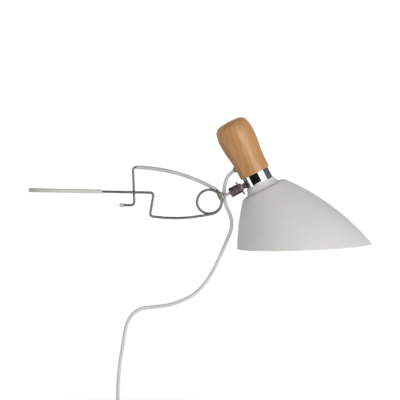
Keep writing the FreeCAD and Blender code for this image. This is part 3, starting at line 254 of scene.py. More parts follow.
def turned(name, profile, place, segments=96, closed=True, sharp_deg=32):
    """A body turned about its Z axis from a profile of (radius, height), in metres."""
    vertices = []
    rings = []
    for radius, height in profile:
        if radius < 1e-7:
            rings.append([len(vertices)])
            vertices.append(place @ Vector((0, 0, height)))
            continue
        rings.append(list(range(len(vertices), len(vertices) + segments)))
        for step in range(segments):
            angle = 2 * math.pi * step / segments
            vertices.append(place @ Vector((radius * math.cos(angle), radius * math.sin(angle), height)))
    faces = []
    count = len(rings)
    for number in range(count if closed else count - 1):
        low, high = rings[number], rings[(number + 1) % count]
        if len(low) == 1 and len(high) == 1:
            continue
        for step in range(segments):
            after = (step + 1) % segments
            if len(low) == 1:
                faces.append((low[0], high[after], high[step]))
            elif len(high) == 1:
                faces.append((low[step], low[after], high[0]))
            else:
                faces.append((low[step], low[after], high[after], high[step]))
    return mesh_object(name, vertices, faces, sharp_deg)


def tube(name, line, radius, sides=24, rounding=0.0, radius_at=None):
    """A round bar along a line of points, with its two ends rounded."""
    line = [Vector(point) for point in line]
    lengths = [0.0]
    for start, end in zip(line, line[1:]):
        lengths.append(lengths[-1] + (end - start).length)
    total = lengths[-1]
    size_of = radius_at or (lambda share: radius)
    ways = []
    for number in range(len(line)):
        before = line[max(number - 1, 0)]
        after = line[min(number + 1, len(line) - 1)]
        ways.append((after - before).normalized())
    side = ways[0].orthogonal().normalized()
    across = [side]
    for before, way in zip(ways, ways[1:]):
        side = before.rotation_difference(way) @ side
        side = (side - way * side.dot(way)).normalized()
        across.append(side)

    rings = []

    def ring(centre, number, size):
        up = ways[number].cross(across[number])
        angles = [2 * math.pi * step / sides for step in range(sides)]
        rings.append([centre + (across[number] * math.cos(a) + up * math.sin(a)) * size for a in angles])

    def rounded_end(number, inward, steps):
        for step in steps:
            angle = math.pi / 2 * step / 5
            shrink = rounding * (1 - math.sin(angle))
            offset = ways[number] * inward * rounding * (1 - math.cos(angle))
            ring(line[number] + offset, number, size_of(number and 1) - shrink)

    if rounding:
        rounded_end(0, 1, range(5))
    for number, here in enumerate(line):
        if not rounding or rounding <= lengths[number] <= total - rounding:
            ring(here, number, size_of(lengths[number] / total))
    if rounding:
        rounded_end(len(line) - 1, -1, reversed(range(5)))
    vertices = [point for each in rings for point in each]
    faces = [tuple(reversed(range(sides)))]
    for number in range(len(rings) - 1):
        low = number * sides
        for step in range(sides):
            after = (step + 1) % sides
            faces.append((low + step, low + after, low + sides + after, low + sides + step))
    faces.append(tuple(range(len(vertices) - sides, len(vertices))))
    return mesh_object(name, vertices, faces, 40)


def bent(points, radii, step_deg=5):
    """The line of a bent wire: straight runs joined by arcs of the given radii."""
    points = [Vector(point) for point in points]
    line = [points[0]]
    for number in range(1, len(points) - 1):
        before = (points[number] - points[number - 1]).normalized()
        after = (points[number + 1] - points[number]).normalized()
        turn = before.angle(after)
        radius = radii[number - 1]
        reach = radius * math.tan(turn / 2)
        start = points[number] - before * reach
        inward = (after - before).normalized()
        centre = points[number] + inward * (radius / math.cos(turn / 2))
        axis = before.cross(after).normalized()
        steps = max(4, math.ceil(math.degrees(turn) / step_deg))
        for step in range(steps + 1):
            line.append(centre + Quaternion(axis, turn * step / steps) @ (start - centre))
    line.append(points[-1])
    return line


def widest_radii(points, share):
    """For each inner point, the radius whose arc takes that share of the shorter run beside it."""
    radii = []
    for before, here, after in zip(points, points[1:], points[2:]):
        half_turn = (here - before).angle(after - here) / 2
        radii.append(share * min((here - before).length, (after - here).length) / math.tan(half_turn))
    return radii


def divided(line, longest):
    """The line with its long runs divided, so that a tube along it can change colour or bend."""
    points = [Vector(line[0])]
    for start, end in zip(line, line[1:]):
        start, end = Vector(start), Vector(end)
        count = max(1, math.ceil((end - start).length / longest))
        points += [start.lerp(end, step / count) for step in range(1, count + 1)]
    return points


def carved(base, *tools, operation="DIFFERENCE"):
    """The base with each tool cut out of it, or joined to it."""
    for tool in tools:
        cutting = base.modifiers.new("carve", "BOOLEAN")
        cutting.operation = operation
        cutting.solver = "EXACT"
        cutting.object = tool
        baked(base)
        bpy.data.objects.remove(tool)
    return base


def bevelled(thing, width, segments=2, angle=35):
    """The object with its crisp edges rounded off."""
    rounding = thing.modifiers.new("rounding", "BEVEL")
    rounding.width = width
    rounding.segments = segments
    rounding.limit_method = "ANGLE"
    rounding.angle_limit = math.radians(angle)
    rounding.harden_normals = False
    baked(thing)
    return smooth_edges(thing, 40)


def put(thing, place):
    thing.matrix_world = place
    bpy.context.view_layer.update()
    return thing


def bar(radius, length, start, way, segments=48):
    """A plain round bar, used to cut with and for small pins."""
    place = Matrix.Translation(Vector(start)) @ Vector(way).to_track_quat("Z", "Y").to_matrix().to_4x4()
    profile = [(0, 0), (radius, 0), (radius, length), (0, length)]
    return turned("bar", profile, place, segments, closed=False)


def box(size, centre):
    data = bpy.data.meshes.new("box")
    shape = bmesh.new()
    bmesh.ops.create_cube(shape, size=1)
    bmesh.ops.scale(shape, vec=Vector(size), verts=shape.verts)
    bmesh.ops.translate(shape, vec=Vector(centre), verts=shape.verts)
    shape.to_mesh(data)
    shape.free()
    return link(bpy.data.objects.new("box", data))


def prism(name, outline, low, high):
    """A flat outline of (x, y) points, padded from z low to z high."""
    count = len(outline)
    vertices = [Vector((x, y, low)) for x, y in outline] + [Vector((x, y, high)) for x, y in outline]
    faces = [tuple(reversed(range(count))), tuple(range(count, 2 * count))]
    for number in range(count):
        after = (number + 1) % count
        faces.append((number, after, count + after, count + number))
    return mesh_object(name, vertices, faces, 30)


# ---------------------------------------------------------------------------------------------
# Materials
# ---------------------------------------------------------------------------------------------
class Shading:
    """A node material, built in short steps."""

    def __init__(self, name, base, roughness=0.5, metallic=0.0, **sockets):
        self.material = bpy.data.materials.new(name)
        self.material.use_nodes = True
        self.tree = self.material.node_tree
        self.shader = self.tree.nodes["Principled BSDF"]
        self.shader.inputs["Base Color"].default_value = (*base, 1)
        self.shader.inputs["Roughness"].default_value = roughness
        self.shader.inputs["Metallic"].default_value = metallic
        for socket, level in sockets.items():
            self.shader.inputs[socket.replace("_", " ")].default_value = level
        self.coordinates = self.add("ShaderNodeTexCoord").outputs["Object"]
        self.bumps = []

    def add(self, kind, **inputs):
        made = self.tree.nodes.new(kind)
        for socket, level in inputs.items():
            made.inputs[socket.replace("_", " ")].default_value = level
        return made

    def wire(self, output, target):
        self.tree.links.new(output, target)

    def mapped(self, scale=(1, 1, 1), turn=(0, 0, 0), source=None):
        mapping = self.add("ShaderNodeMapping", Scale=scale, Rotation=turn)
        self.wire(source or self.coordinates, mapping.inputs["Vector"])
        return mapping.outputs["Vector"]

    def noise(self, scale, detail=3.0, roughness=0.5, distortion=0.0, source=None):
        made = self.add("ShaderNodeTexNoise", Scale=scale, Detail=detail, Roughness=roughness)
        made.inputs["Distortion"].default_value = distortion
        self.wire(source or self.coordinates, made.inputs["Vector"])
        return made.outputs["Fac"]

    def voronoi(self, scale, source=None, feature="F1"):
        made = self.add("ShaderNodeTexVoronoi", Scale=scale)
        made.feature = feature
        self.wire(source or self.coordinates, made.inputs["Vector"])
        return made.outputs["Distance"]

    def ramp(self, source, *stops):
        """Colours or grey levels along a value: (place, level) or (place, (r, g, b))."""
        made = self.add("ShaderNodeValToRGB")
        elements = made.color_ramp.elements
        while len(elements) < len(stops):
            elements.new(0.5)
        for element, (place, level) in zip(elements, stops):
            element.position = place
            element.color = (*level, 1) if isinstance(level, tuple) else (level, level, level, 1)
        self.wire(source, made.inputs["Fac"])
        return made.outputs["Color"]

    def mix(self, first, second, share, blend="MIX"):
        made = self.add("ShaderNodeMix")
        made.data_type = "RGBA"
        made.blend_type = blend
        for socket, level in ((6, first), (7, second), (0, share)):
            if isinstance(level, tuple):
                made.inputs[socket].default_value = (*level, 1)
            elif isinstance(level, (int, float)):
                made.inputs[socket].default_value = level
            else:
                self.wire(level, made.inputs[socket])
        return made.outputs[2]

    def math(self, operation, first, second=0.5):
        made = self.add("ShaderNodeMath")
        made.operation = operation
        for socket, level in ((0, first), (1, second)):
            if isinstance(level, (int, float)):
                made.inputs[socket].default_value = level
            else:
                self.wire(level, made.inputs[socket])
        return made.outputs[0]

    def colour(self, output):
        self.wire(output, self.shader.inputs["Base Color"])
        return self

    def rough(self, source, low, high):
        spread = self.add("ShaderNodeMapRange")
        spread.inputs["To Min"].default_value = low
        spread.inputs["To Max"].default_value = high
        self.wire(source, spread.inputs["Value"])
        self.wire(spread.outputs["Result"], self.shader.inputs["Roughness"])
        return self

    def bump(self, height, distance, strength=1.0):
        made = self.add("ShaderNodeBump", Strength=strength, Distance=distance)
        self.wire(height, made.inputs["Height"])
        if self.bumps:
            self.wire(self.bumps[-1].outputs["Normal"], made.inputs["Normal"])
        self.bumps.append(made)
        self.wire(made.outputs["Normal"], self.shader.inputs["Normal"])
        return self

    def position(self, axis):
        parts = self.add("ShaderNodeSeparateXYZ")
        self.wire(self.coordinates, parts.inputs["Vector"])
        return parts.outputs[axis]


def finish_on(material, *things):
    for thing in things:
        thing.data.materials.clear()
        thing.data.materials.append(material)
        thing["finish"] = material.name


def shown(thing, material, body, *replaced, slot=None, place=None):
    """Places a finished piece, gives it its material and its body."""
    if place is not None:
        put(thing, place)
    finish_on(material, thing)
    if replaced:
        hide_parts(*replaced)
    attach(thing, body)
    return thing


def renamed(thing, name):
    thing.name = name
    thing.data.name = name
    return thing


def shade_paint():
    """Matt powder coat on spun metal: fine orange peel, faint spinning rings and a little dust."""
    coat = Shading("shade_paint", (0.60, 0.595, 0.57), 0.5, 0.0, Specular_IOR_Level=0.42)
    cloud = coat.noise(14, 4)
    coat.colour(coat.ramp(cloud, (0.3, (0.655, 0.65, 0.628)), (0.72, (0.70, 0.695, 0.675))))
    coat.rough(coat.noise(60, 3), 0.42, 0.56)
    coat.bump(coat.noise(900, 2), 0.00006, 0.5)
    rings = coat.noise(1.0, 2, source=coat.mapped((4, 4, 420)))
    coat.bump(rings, 0.00004, 0.25)
    return coat.material


def shade_inside():
    coat = Shading("shade_inside", (0.72, 0.715, 0.69), 0.42, 0.0, Specular_IOR_Level=0.45)
    coat.colour(coat.ramp(coat.noise(18, 4), (0.3, (0.70, 0.695, 0.67)), (0.7, (0.745, 0.74, 0.72))))
    coat.bump(coat.noise(800, 2), 0.00006, 0.4)
    return coat.material


def lacquered_wood():
    """Beech turned between centres: faint growth rings, short ray flecks, a clear lacquer."""
    wood = Shading(
        "handle_wood",
        (0.47, 0.235, 0.095),
        0.34,
        0.0,
        Specular_IOR_Level=0.42,
        Coat_Weight=0.22,
        Coat_Roughness=0.2,
    )
    warped = wood.mapped((1, 1, 0.07), (math.radians(4), math.radians(-6), 0))
    bend = wood.noise(46, 3, 0.55, 0.4, source=warped)
    rings = wood.add(
        "ShaderNodeTexWave",
        Scale=62,
        Distortion=5.5,
        Detail=3.0,
        Detail_Scale=1.6,
        Detail_Roughness=0.6,
    )
    rings.wave_type = "RINGS"
    rings.rings_direction = "Y"
    offset = wood.add("ShaderNodeMapping", Location=(0.034, 0.0, -0.05), Scale=(1, 0.05, 0.16))
    wood.wire(wood.coordinates, offset.inputs["Vector"])
    wood.wire(offset.outputs["Vector"], rings.inputs["Vector"])
    early = wood.ramp(
        rings.outputs["Fac"],
        (0.0, (0.45, 0.212, 0.076)),
        (0.55, (0.505, 0.252, 0.096)),
        (1.0, (0.54, 0.28, 0.112)),
    )
    cloud = wood.ramp(
        bend,
        (0.25, (0.42, 0.195, 0.068)),
        (0.5, (0.50, 0.25, 0.095)),
        (0.78, (0.57, 0.30, 0.125)),
    )
    body = wood.mix(early, cloud, 0.5)
    streaks = wood.noise(420, 3, 0.6, source=wood.mapped((1, 1, 0.035)))
    body = wood.mix(body, (0.36, 0.16, 0.058), wood.ramp(streaks, (0.5, 0.0), (0.75, 0.35)))
    flecks = wood.voronoi(700, source=wood.mapped((1, 1, 0.2)))
    body = wood.mix(body, (0.34, 0.145, 0.05), wood.ramp(flecks, (0.06, 0.6), (0.18, 0.0)))
    wood.colour(body)
    wood.rough(streaks, 0.30, 0.44)
    wood.bump(streaks, 0.00005, 0.35)
    wood.bump(wood.ramp(flecks, (0.05, 0.0), (0.2, 1.0)), 0.00003, 0.3)
    return wood.material


def mirror_chrome():
    """Bright plating with a breath of fine scratches round it."""
    chrome = Shading("collar_chrome", (0.86, 0.865, 0.87), 0.05, 1.0)
    scratches = chrome.noise(1.0, 4, 0.7, source=chrome.mapped((30, 30, 2600)))
    chrome.rough(scratches, 0.025, 0.085)
    chrome.bump(chrome.noise(160, 2), 0.00002, 0.05)
    return chrome.material


def rod_chrome():
    chrome = Shading("rod_chrome", (0.72, 0.72, 0.73), 0.14, 1.0)
    chrome.rough(chrome.noise(700, 3), 0.08, 0.24)
    chrome.bump(chrome.noise(1500, 2), 0.00002, 0.15)
    return chrome.material


def spring_steel():
    """Drawn wire: lengthwise streaks, slightly grey and uneven."""
    steel = Shading("spring_steel", (0.42, 0.42, 0.41), 0.3, 1.0)
    blotch = steel.noise(240, 4, 0.6)
    steel.colour(
        steel.ramp(
            blotch,
            (0.3, (0.17, 0.17, 0.165)),
            (0.55, (0.26, 0.26, 0.255)),
            (0.75, (0.36, 0.36, 0.35)),
        )
    )
    steel.rough(steel.noise(900, 3), 0.22, 0.42)
    steel.bump(steel.noise(2400, 2), 0.00002, 0.25)
    return steel.material


def gunmetal():
    """Dark bronzed steel, rubbed brighter in patches."""
    metal = Shading("gunmetal", (0.1, 0.085, 0.08), 0.38, 1.0)
    wear = metal.noise(420, 5, 0.65)
    tones = ((0.35, (0.10, 0.08, 0.076)), (0.6, (0.21, 0.17, 0.16)), (0.8, (0.40, 0.34, 0.32)))
    metal.colour(metal.ramp(wear, *tones))
    metal.rough(wear, 0.26, 0.48)
    metal.bump(metal.noise(1300, 3), 0.00004, 0.35)
    return metal.material


def fastener_steel():
    metal = Shading("fastener_steel", (0.4, 0.39, 0.37), 0.34, 1.0)
    metal.rough(metal.noise(900, 3), 0.22, 0.42)
    metal.bump(metal.noise(2000, 2), 0.00003, 0.25)
    return metal.material


def plain_brass(name, base, low=0.18, high=0.36):
    metal = Shading(name, base, 0.28, 1.0)
    tone = metal.noise(300, 4)
    darker = tuple(level * 0.72 for level in base)
    metal.colour(metal.ramp(tone, (0.32, darker), (0.66, base)))
    metal.rough(metal.noise(800, 3), low, high)
    return metal.material


def moulded(name, base, roughness=0.45, grain=900, depth=0.00005, specular=0.45, spread=0.08, **sockets):
    """Moulded plastic with a fine spark-eroded grain and a little unevenness."""
    plastic = Shading(name, base, roughness, 0.0, Specular_IOR_Level=specular, **sockets)
    darker = tuple(level * (1 - spread) for level in base)
    lighter = tuple(min(level * (1 + spread / 2), 1) for level in base)
    plastic.colour(plastic.ramp(plastic.noise(45, 4), (0.3, darker), (0.7, lighter)))
    plastic.rough(plastic.noise(grain * 0.4, 2), roughness - 0.06, roughness + 0.08)
    plastic.bump(plastic.noise(grain, 2), depth, 0.4)
    return plastic.material


def jaw_plastic():
    """The jaw's tube: cream, going darker olive-grey towards the tip."""
    plastic = Shading("jaw_sleeve", (0.55, 0.54, 0.49), 0.5, 0.0, Specular_IOR_Level=0.4)
    along = plastic.add("ShaderNodeMapRange")
    along.inputs["From Min"].default_value = -0.150
    along.inputs["From Max"].default_value = -0.080
    plastic.wire(plastic.position("X"), along.inputs["Value"])
    # The tube gets darker olive-grey towards the tip, with a little random mottle.
    tip_to_root_blend = plastic.math("ADD", along.outputs["Result"], plastic.math("MULTIPLY", plastic.noise(90, 4), 0.35))
    plastic.colour(
        plastic.ramp(
            tip_to_root_blend,
            (0.12, (0.30, 0.30, 0.255)),
            (0.55, (0.50, 0.495, 0.44)),
            (1.0, (0.64, 0.635, 0.59)),
        )
    )
    plastic.bump(plastic.noise(700, 2), 0.00005, 0.35)
    return plastic.material


def cord_pvc():
    """Flexible PVC: slightly glossy, faintly uneven, a trace of the twisted cores underneath."""
    pvc = Shading("cord_pvc", (0.62, 0.62, 0.60), 0.42, 0.0, Specular_IOR_Level=0.45)
    pvc.colour(pvc.ramp(pvc.noise(40, 4), (0.3, (0.585, 0.585, 0.565)), (0.7, (0.655, 0.655, 0.64))))
    pvc.rough(pvc.noise(300, 3), 0.36, 0.5)
    pvc.bump(pvc.noise(170, 2), 0.00012, 0.3)
    pvc.bump(pvc.noise(1500, 2), 0.00003, 0.3)
    return pvc.material


def lamp_glass():
    glass = Shading("lamp_glass", (0.93, 0.93, 0.91), 0.25, Specular_IOR_Level=0.5, Subsurface_Weight=0.25)
    glass.shader.inputs["Subsurface Radius"].default_value = (0.01, 0.01, 0.009)
    glass.colour(glass.ramp(glass.noise(30, 3), (0.3, (0.90, 0.90, 0.88)), (0.7, (0.95, 0.95, 0.935))))
    glass.bump(glass.noise(600, 2), 0.00002, 0.2)
    return glass.material


def ceramic():
    glaze = Shading("ceramic", (0.8, 0.79, 0.75), 0.22, 0.0, Specular_IOR_Level=0.5)
    glaze.colour(glaze.ramp(glaze.noise(60, 4), (0.3, (0.76, 0.75, 0.70)), (0.7, (0.83, 0.82, 0.79))))
    glaze.bump(glaze.noise(500, 3), 0.00006, 0.3)
    return glaze.material


SHADE_PAINT = shade_paint()
SHADE_INSIDE = shade_inside()
WOOD = lacquered_wood()
COLLAR_CHROME = mirror_chrome()
ROD_CHROME = rod_chrome()
SPRING_STEEL = spring_steel()
GUNMETAL = gunmetal()
FASTENER = fastener_steel()
BRASS = plain_brass("brass", (0.72, 0.50, 0.22))
CONTACT = plain_brass("contact_metal", (0.66, 0.60, 0.46))
LAMP_CAP = plain_brass("lamp_cap", (0.66, 0.66, 0.65), 0.2, 0.38)
BLACK_PLASTIC = moulded("holder_plastic", (0.018, 0.018, 0.018), 0.32, 700)
CORD_PVC = cord_pvc()
FITTING_PLASTIC = moulded("cord_fittings", (0.66, 0.655, 0.63), 0.44, 1100)
ROCKER_PLASTIC = moulded("rocker_plastic", (0.16, 0.16, 0.155), 0.36, 900)
GLAND_PLASTIC = moulded("gland_plastic", (0.22, 0.22, 0.205), 0.45, 900)
ARM_PLASTIC = moulded("arm_sleeve", (0.50, 0.50, 0.485), 0.48, 900)
JAW_PLASTIC = jaw_plastic()
LEAD_PLASTIC = moulded("lead_brown", (0.12, 0.05, 0.02), 0.4, 900)
LAMP_GLASS = lamp_glass()
CERAMIC = ceramic()


# ---------------------------------------------------------------------------------------------
# The clip: one spring wire, its sleeves and its cap
# ---------------------------------------------------------------------------------------------
WIRE_R = 0.0018
FRONT_Y, REAR_Y = -0.0027, 0.0027
COIL_R, ENTRY_R = 0.0182, 0.021
ENTRY_TURN, DIP, DIP_AT, DIP_HALF = 80, 0.0010, 150, 90
CORNER_R = 0.0048


def tangent_point(start, radius, side):
    """Where a straight run from a point touches a circle about the coil's centre."""
    away = Vector(start) - COIL_CENTRE
    angle = math.atan2(away.z, away.x) + side * math.acos(radius / math.hypot(away.x, away.z))
    return angle, COIL_CENTRE + Vector((radius * math.cos(angle), 0, radius * math.sin(angle)))


riser_top = Vector((0.0411, FRONT_Y, 0.00105))
riser_foot = riser_top + Vector((-0.0062, 0, -0.0348))
sag = Vector((0.0761, FRONT_Y, riser_foot.z - 0.006))
jaw_tip = Vector((-0.144, FRONT_Y, 0.00495))
exit_angle, exit_point = tangent_point(sag, COIL_R, 1)
exit_point.y = FRONT_Y
leg_top = Vector((0.0098, REAR_Y, 0.0392))
leg_foot = leg_top + Vector((0.0021, 0, -0.0569))
hook_tip = leg_foot - Vector((0.021, 0, 0))
crest = Vector((0.08025, REAR_Y, 0.0347))
entry_angle, entry_point = tangent_point(crest, ENTRY_R, -1)
entry_point.y = REAR_Y

jaw_points = [jaw_tip, riser_top, riser_foot, sag, exit_point]
jaw_line = bent(jaw_points, [CORNER_R, CORNER_R, *widest_radii(jaw_points[2:], 0.9)])
arm_points = [hook_tip, leg_foot, leg_top, crest, entry_point]
arm_radii = [CORNER_R, CORNER_R, *widest_radii(arm_points[2:], 0.9)]
arm_line = bent(arm_points, arm_radii)

coil_turn = entry_angle - exit_angle
while coil_turn < 2 * math.pi:
    coil_turn += 2 * math.pi


def eased(share):
    share = min(max(share, 0), 1)
    return share * share * (3 - 2 * share)


def coil_point(turn):
    closing = eased(math.degrees(turn) / ENTRY_TURN)
    dip = DIP * eased(1 - abs(math.degrees(turn) - DIP_AT) / DIP_HALF)
    radius = ENTRY_R + (COIL_R - ENTRY_R) * closing - dip
    angle = entry_angle - turn
    across = REAR_Y + (FRONT_Y - REAR_Y) * turn / coil_turn
    return COIL_CENTRE + Vector((radius * math.cos(angle), across, radius * math.sin(angle)))


COIL_STEPS = 110
coil_line = [coil_point(coil_turn * (1 - step / COIL_STEPS)) for step in range(1, COIL_STEPS)]
clip_wire = tube("clip_wire", jaw_line + coil_line + arm_line[::-1], WIRE_R, 24, 0.0006)
finish_on(SPRING_STEEL, clip_wire)
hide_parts("jaw_wire", "spring_coil", "arm_wire")
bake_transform(clip_wire)

jaw_way = (riser_top - jaw_tip).normalized()
sleeve_run = [jaw_tip - jaw_way * 0.0004, jaw_tip + jaw_way * 0.108]
jaw_tube = tube(
    "jaw_tube",
    divided(sleeve_run, 0.002),
    0.003,
    32,
    0.0005,
    lambda share: 0.00297 + 0.00003 * math.sin(share * 41) + 0.00002 * math.sin(share * 97 + 1),
)
shown(jaw_tube, JAW_PLASTIC, "clip", "jaw_sleeve")

leg_turn = (leg_top - leg_foot).angle(crest - leg_top)
sleeve_start = leg_top + (crest - leg_top).normalized() * CORNER_R * math.tan(leg_turn / 2)
arm_tube = tube(
    "arm_tube",
    divided(bent([sleeve_start, crest, entry_point], [arm_radii[2]], 2), 0.003),
    0.0027,
    32,
    0.0004,
)
shown(arm_tube, ARM_PLASTIC, "clip_arm", "arm_sleeve")

cap_profile = [(0, 0.0), *arc((0.0013, 0.0015), 0.0015, 270, 360, 6), (0.0028, 0.0058)]
cap_profile += [(0.00265, 0.006), (0.00185, 0.006), (0.00185, 0.0015), (0, 0.0015)]
TO_X = Matrix.Rotation(math.radians(90), 4, "Y")
hook_cap = turned(
    "hook_end", cap_profile, Matrix.Translation(hook_tip - Vector((0.0012, 0, 0))) @ TO_X, 48, closed=False
)
shown(hook_cap, ARM_PLASTIC, "clip_arm", "hook_cap")

# ---------------------------------------------------------------------------------------------
# Clamp, rod and knuckle, in the rod's frame
# ---------------------------------------------------------------------------------------------
CLAMP_FACE = 0.0237
BOSS_END = CLAMP_FACE + 0.001
BARREL_START = BOSS_END + 0.0087
BARREL_END = BARREL_START + 0.0203
SLOT_FLOOR = PIVOT_AT - 0.0046 - 0.0005
LUG_SEAT = BARREL_END + 0.006
X_WAY, Y_WAY, Z_WAY = Vector((1, 0, 0)), Vector((0, 1, 0)), Vector((0, 0, 1))


def x_turned(name, corners, rounding, segments=64):
    """A body turned about the rod's line from (radius, distance) corners."""
    return turned(name, softened(corners, rounding, 2, closed=False), TO_X, segments, closed=False)


clamp = renamed(box((0.0088, 0.0114, 0.011), (0.0193, 0, 0.0025)), "clamp_block")
bevelled(clamp, 0.0022, 5)
clamp = carved(clamp, box((0.005, 0.02, 0.0006), (0.0222, 0, 0.0045)))
boss = bar(0.0035, 0.002, (CLAMP_FACE - 0.001, 0, 0), X_WAY)
clamp = carved(clamp, boss, operation="UNION")
bevelled(clamp, 0.00025, 2)
shown(clamp, FASTENER, "clip", "rod_clamp", place=ROD_FRAME)

rod_corners = [(0, 0.0223), (0.0024, 0.0223), (0.0024, BARREL_START + 0.0084), (0, BARREL_START + 0.0084)]
shown(x_turned("bright_rod", rod_corners, 0.0003), ROD_CHROME, "clip", "support_rod", place=ROD_FRAME)

barrel_corners = [
    (0, BARREL_START),
    (0.0062, BARREL_START),
    (0.0075, BARREL_START + 0.0012),
    (0.0075, BARREL_START + 0.0058),
    (0.0070, BARREL_START + 0.0062),
    (0.0070, BARREL_START + 0.0070),
    (0.0075, BARREL_START + 0.0074),
    (0.0075, BARREL_END - 0.0022),
    (0.0060, BARREL_END),
    (0, BARREL_END),
]
barrel = x_turned("knuckle_fork", barrel_corners, 0.0002, 96)
slot_middle = (BARREL_END + SLOT_FLOOR + 0.001) / 2
barrel = carved(
    barrel,
    box((BARREL_END - SLOT_FLOOR + 0.001, 0.0054, 0.03), (slot_middle, 0, 0)),
    bar(0.00245, 0.0088, (BARREL_START - 0.0001, 0, 0), X_WAY),
    bar(0.0044, 0.01, (PIVOT_AT, -0.0065, 0), -Y_WAY),
    bar(0.0044, 0.01, (PIVOT_AT, 0.0065, 0), Y_WAY),
    bar(0.00205, 0.03, (PIVOT_AT, -0.015, 0), Y_WAY),
)
bevelled(barrel, 0.0003, 2)
shown(barrel, GUNMETAL, "knuckle", "knuckle_body", place=ROD_FRAME)

washer = turned(
    "bright_washer",
    softened([(0.00205, 0), (0.004, 0), (0.004, 0.0008), (0.00205, 0.0008)], 0.0002, 2),
    Matrix.Translation((PIVOT_AT, -0.0065, 0)) @ Matrix.Rotation(math.radians(90), 4, "X"),
    48,
)
shown(washer, FASTENER, "knuckle", "lock_washer", place=ROD_FRAME)

BAR_ANGLE = math.radians(80.4)
BAR_TURN = Matrix.Translation((PIVOT_AT, 0, 0)) @ Matrix.Rotation(BAR_ANGLE - math.pi / 2, 4, "Y")
HEAD_AT = 0.0065 + 0.0008 + 0.0003
HEAD_END = HEAD_AT + 0.0058
BAR_Y = -(HEAD_END - 2.5 * 0.0011)
lock_profile = softened(
    [
        (0, -0.0093),
        (0.002, -0.0093),
        (0.002, HEAD_AT),
        (0.0028, HEAD_AT),
        (0.0033, HEAD_AT + 0.0006),
        (0.0033, HEAD_END - 0.0008),
        (0.0026, HEAD_END),
        (0, HEAD_END + 0.0001),
    ],
    0.0003,
    2,
    closed=False,
)
lock = turned("lock_head", lock_profile, Matrix.Rotation(math.radians(90), 4, "X"), 64, closed=False)
lock = carved(lock, bar(0.00115, 0.03, (0, BAR_Y, -0.015), Z_WAY))
shown(lock, GUNMETAL, "lock", "lock_screw", place=ROD_FRAME @ BAR_TURN)

bar_profile = [(0, -0.01125), (0.0007, -0.01125), (0.0013, -0.0109), (0.0013, -0.0101), (0.0011, -0.0098)]
bar_profile += [(radius, -height) for radius, height in reversed(bar_profile)]
tommy = turned("lock_bar", bar_profile, Matrix.Translation((0, BAR_Y, 0)), 32, closed=False)
shown(tommy, GUNMETAL, "lock", "tommy_bar", place=ROD_FRAME @ BAR_TURN)

tongue = renamed(bar(0.0046, 0.0048, (PIVOT_AT, 0.0024, 0), -Y_WAY, 64), "lug_tongue")
tongue = carved(
    tongue,
    box((LUG_SEAT - PIVOT_AT - 0.001, 0.0048, 0.0076), ((LUG_SEAT + PIVOT_AT - 0.001) / 2, 0, 0)),
    bar(0.0046, 0.0025, (LUG_SEAT - 0.0025, 0, 0), X_WAY, 64),
    bar(0.003, 0.004, (LUG_SEAT - 0.001, 0, 0), X_WAY, 48),
    operation="UNION",
)
tongue = carved(tongue, bar(0.00205, 0.02, (PIVOT_AT, -0.01, 0), Y_WAY))
bevelled(tongue, 0.0003, 2)
shown(tongue, GUNMETAL, "head", "head_lug", place=ROD_FRAME)

# ---------------------------------------------------------------------------------------------
# The head, in its own frame
# ---------------------------------------------------------------------------------------------
ring_corners = [(0.019, 0), (0.026, 0), (0.026, 0.0009)]
neck_span = Vector((0.0223 - 0.026, 0.0098 - 0.001))
neck_steps = 14
neck_curve = []
for step in range(neck_steps + 1):
    share = step / neck_steps
    straight = Vector((0.026, 0.001)).lerp(Vector((0.0223, 0.0098)), share)
    inward = 0.0006 * 4 * share * (1 - share)
    neck_curve.append((straight.x - inward * 0.92, straight.y - inward * 0.38))
neck_profile = ring_corners[:2] + neck_curve + [(0.019, 0.0098)]
shown(
    turned("painted_neck", softened(neck_profile, 0.0002, 2), Matrix(), 128),
    SHADE_PAINT,
    "head",
    "neck_ring",
    place=HEAD_FRAME,
)

COLLAR_LOW, COLLAR_TOP = 0.0098, 0.0263
collar_corners = [
    (0.0172, COLLAR_LOW),
    (0.0210, COLLAR_LOW),
    (0.0210, COLLAR_TOP),
    (0.0050, COLLAR_TOP),
    (0.0050, 0.0243),
    (0.0172, 0.0243),
]
collar = turned("bright_collar", softened(collar_corners, 0.00035, 3), Matrix(), 192)
collar = carved(
    collar,
    bar(0.0048, 0.02, (-0.0205, 0, 0.0165), -X_WAY, 96),
    bar(0.003, 0.01, (-0.0250, 0, 0.0165), X_WAY, 48),
)
smooth_edges(collar, 25)
shown(collar, COLLAR_CHROME, "head", "chrome_collar", place=HEAD_FRAME)

HANDLE_FOOT, STRAIGHT, WIDEST = 0.0233, 0.010, 0.062
MAX_R, CROWN_R, CROWN_LEAN, TOP_CORNER_R, CORNER_LEAN = 0.0275, 0.050, 16, 0.012, 80
swell, rise = MAX_R - HANDLE_FOOT, WIDEST - STRAIGHT
swell_r = (swell * swell + rise * rise) / (4 * swell)
half_turn = math.degrees(math.asin(rise / 2 / swell_r))
widest_z = COLLAR_TOP + WIDEST
handle_profile = [(0, 0.045), (0.0068, 0.045), (0.0068, COLLAR_TOP), (HANDLE_FOOT - 0.0006, COLLAR_TOP)]
handle_profile += arc((HANDLE_FOOT - 0.0006, COLLAR_TOP + 0.0006), 0.0006, 300, 360, 4)
handle_profile += arc((HANDLE_FOOT + swell_r, COLLAR_TOP + STRAIGHT), swell_r, 180, 180 - half_turn, 14)
handle_profile += arc((MAX_R - swell_r, widest_z), swell_r, -half_turn, 0, 14)[1:]
handle_profile += arc((MAX_R - CROWN_R, widest_z), CROWN_R, 0, CROWN_LEAN, 8)[1:]
corner_centre = Vector((MAX_R - CROWN_R, widest_z)) + (CROWN_R - TOP_CORNER_R) * Vector(
    (math.cos(math.radians(CROWN_LEAN)), math.sin(math.radians(CROWN_LEAN)))
)
handle_profile += arc(corner_centre, TOP_CORNER_R, CROWN_LEAN, CORNER_LEAN, 12)[1:]
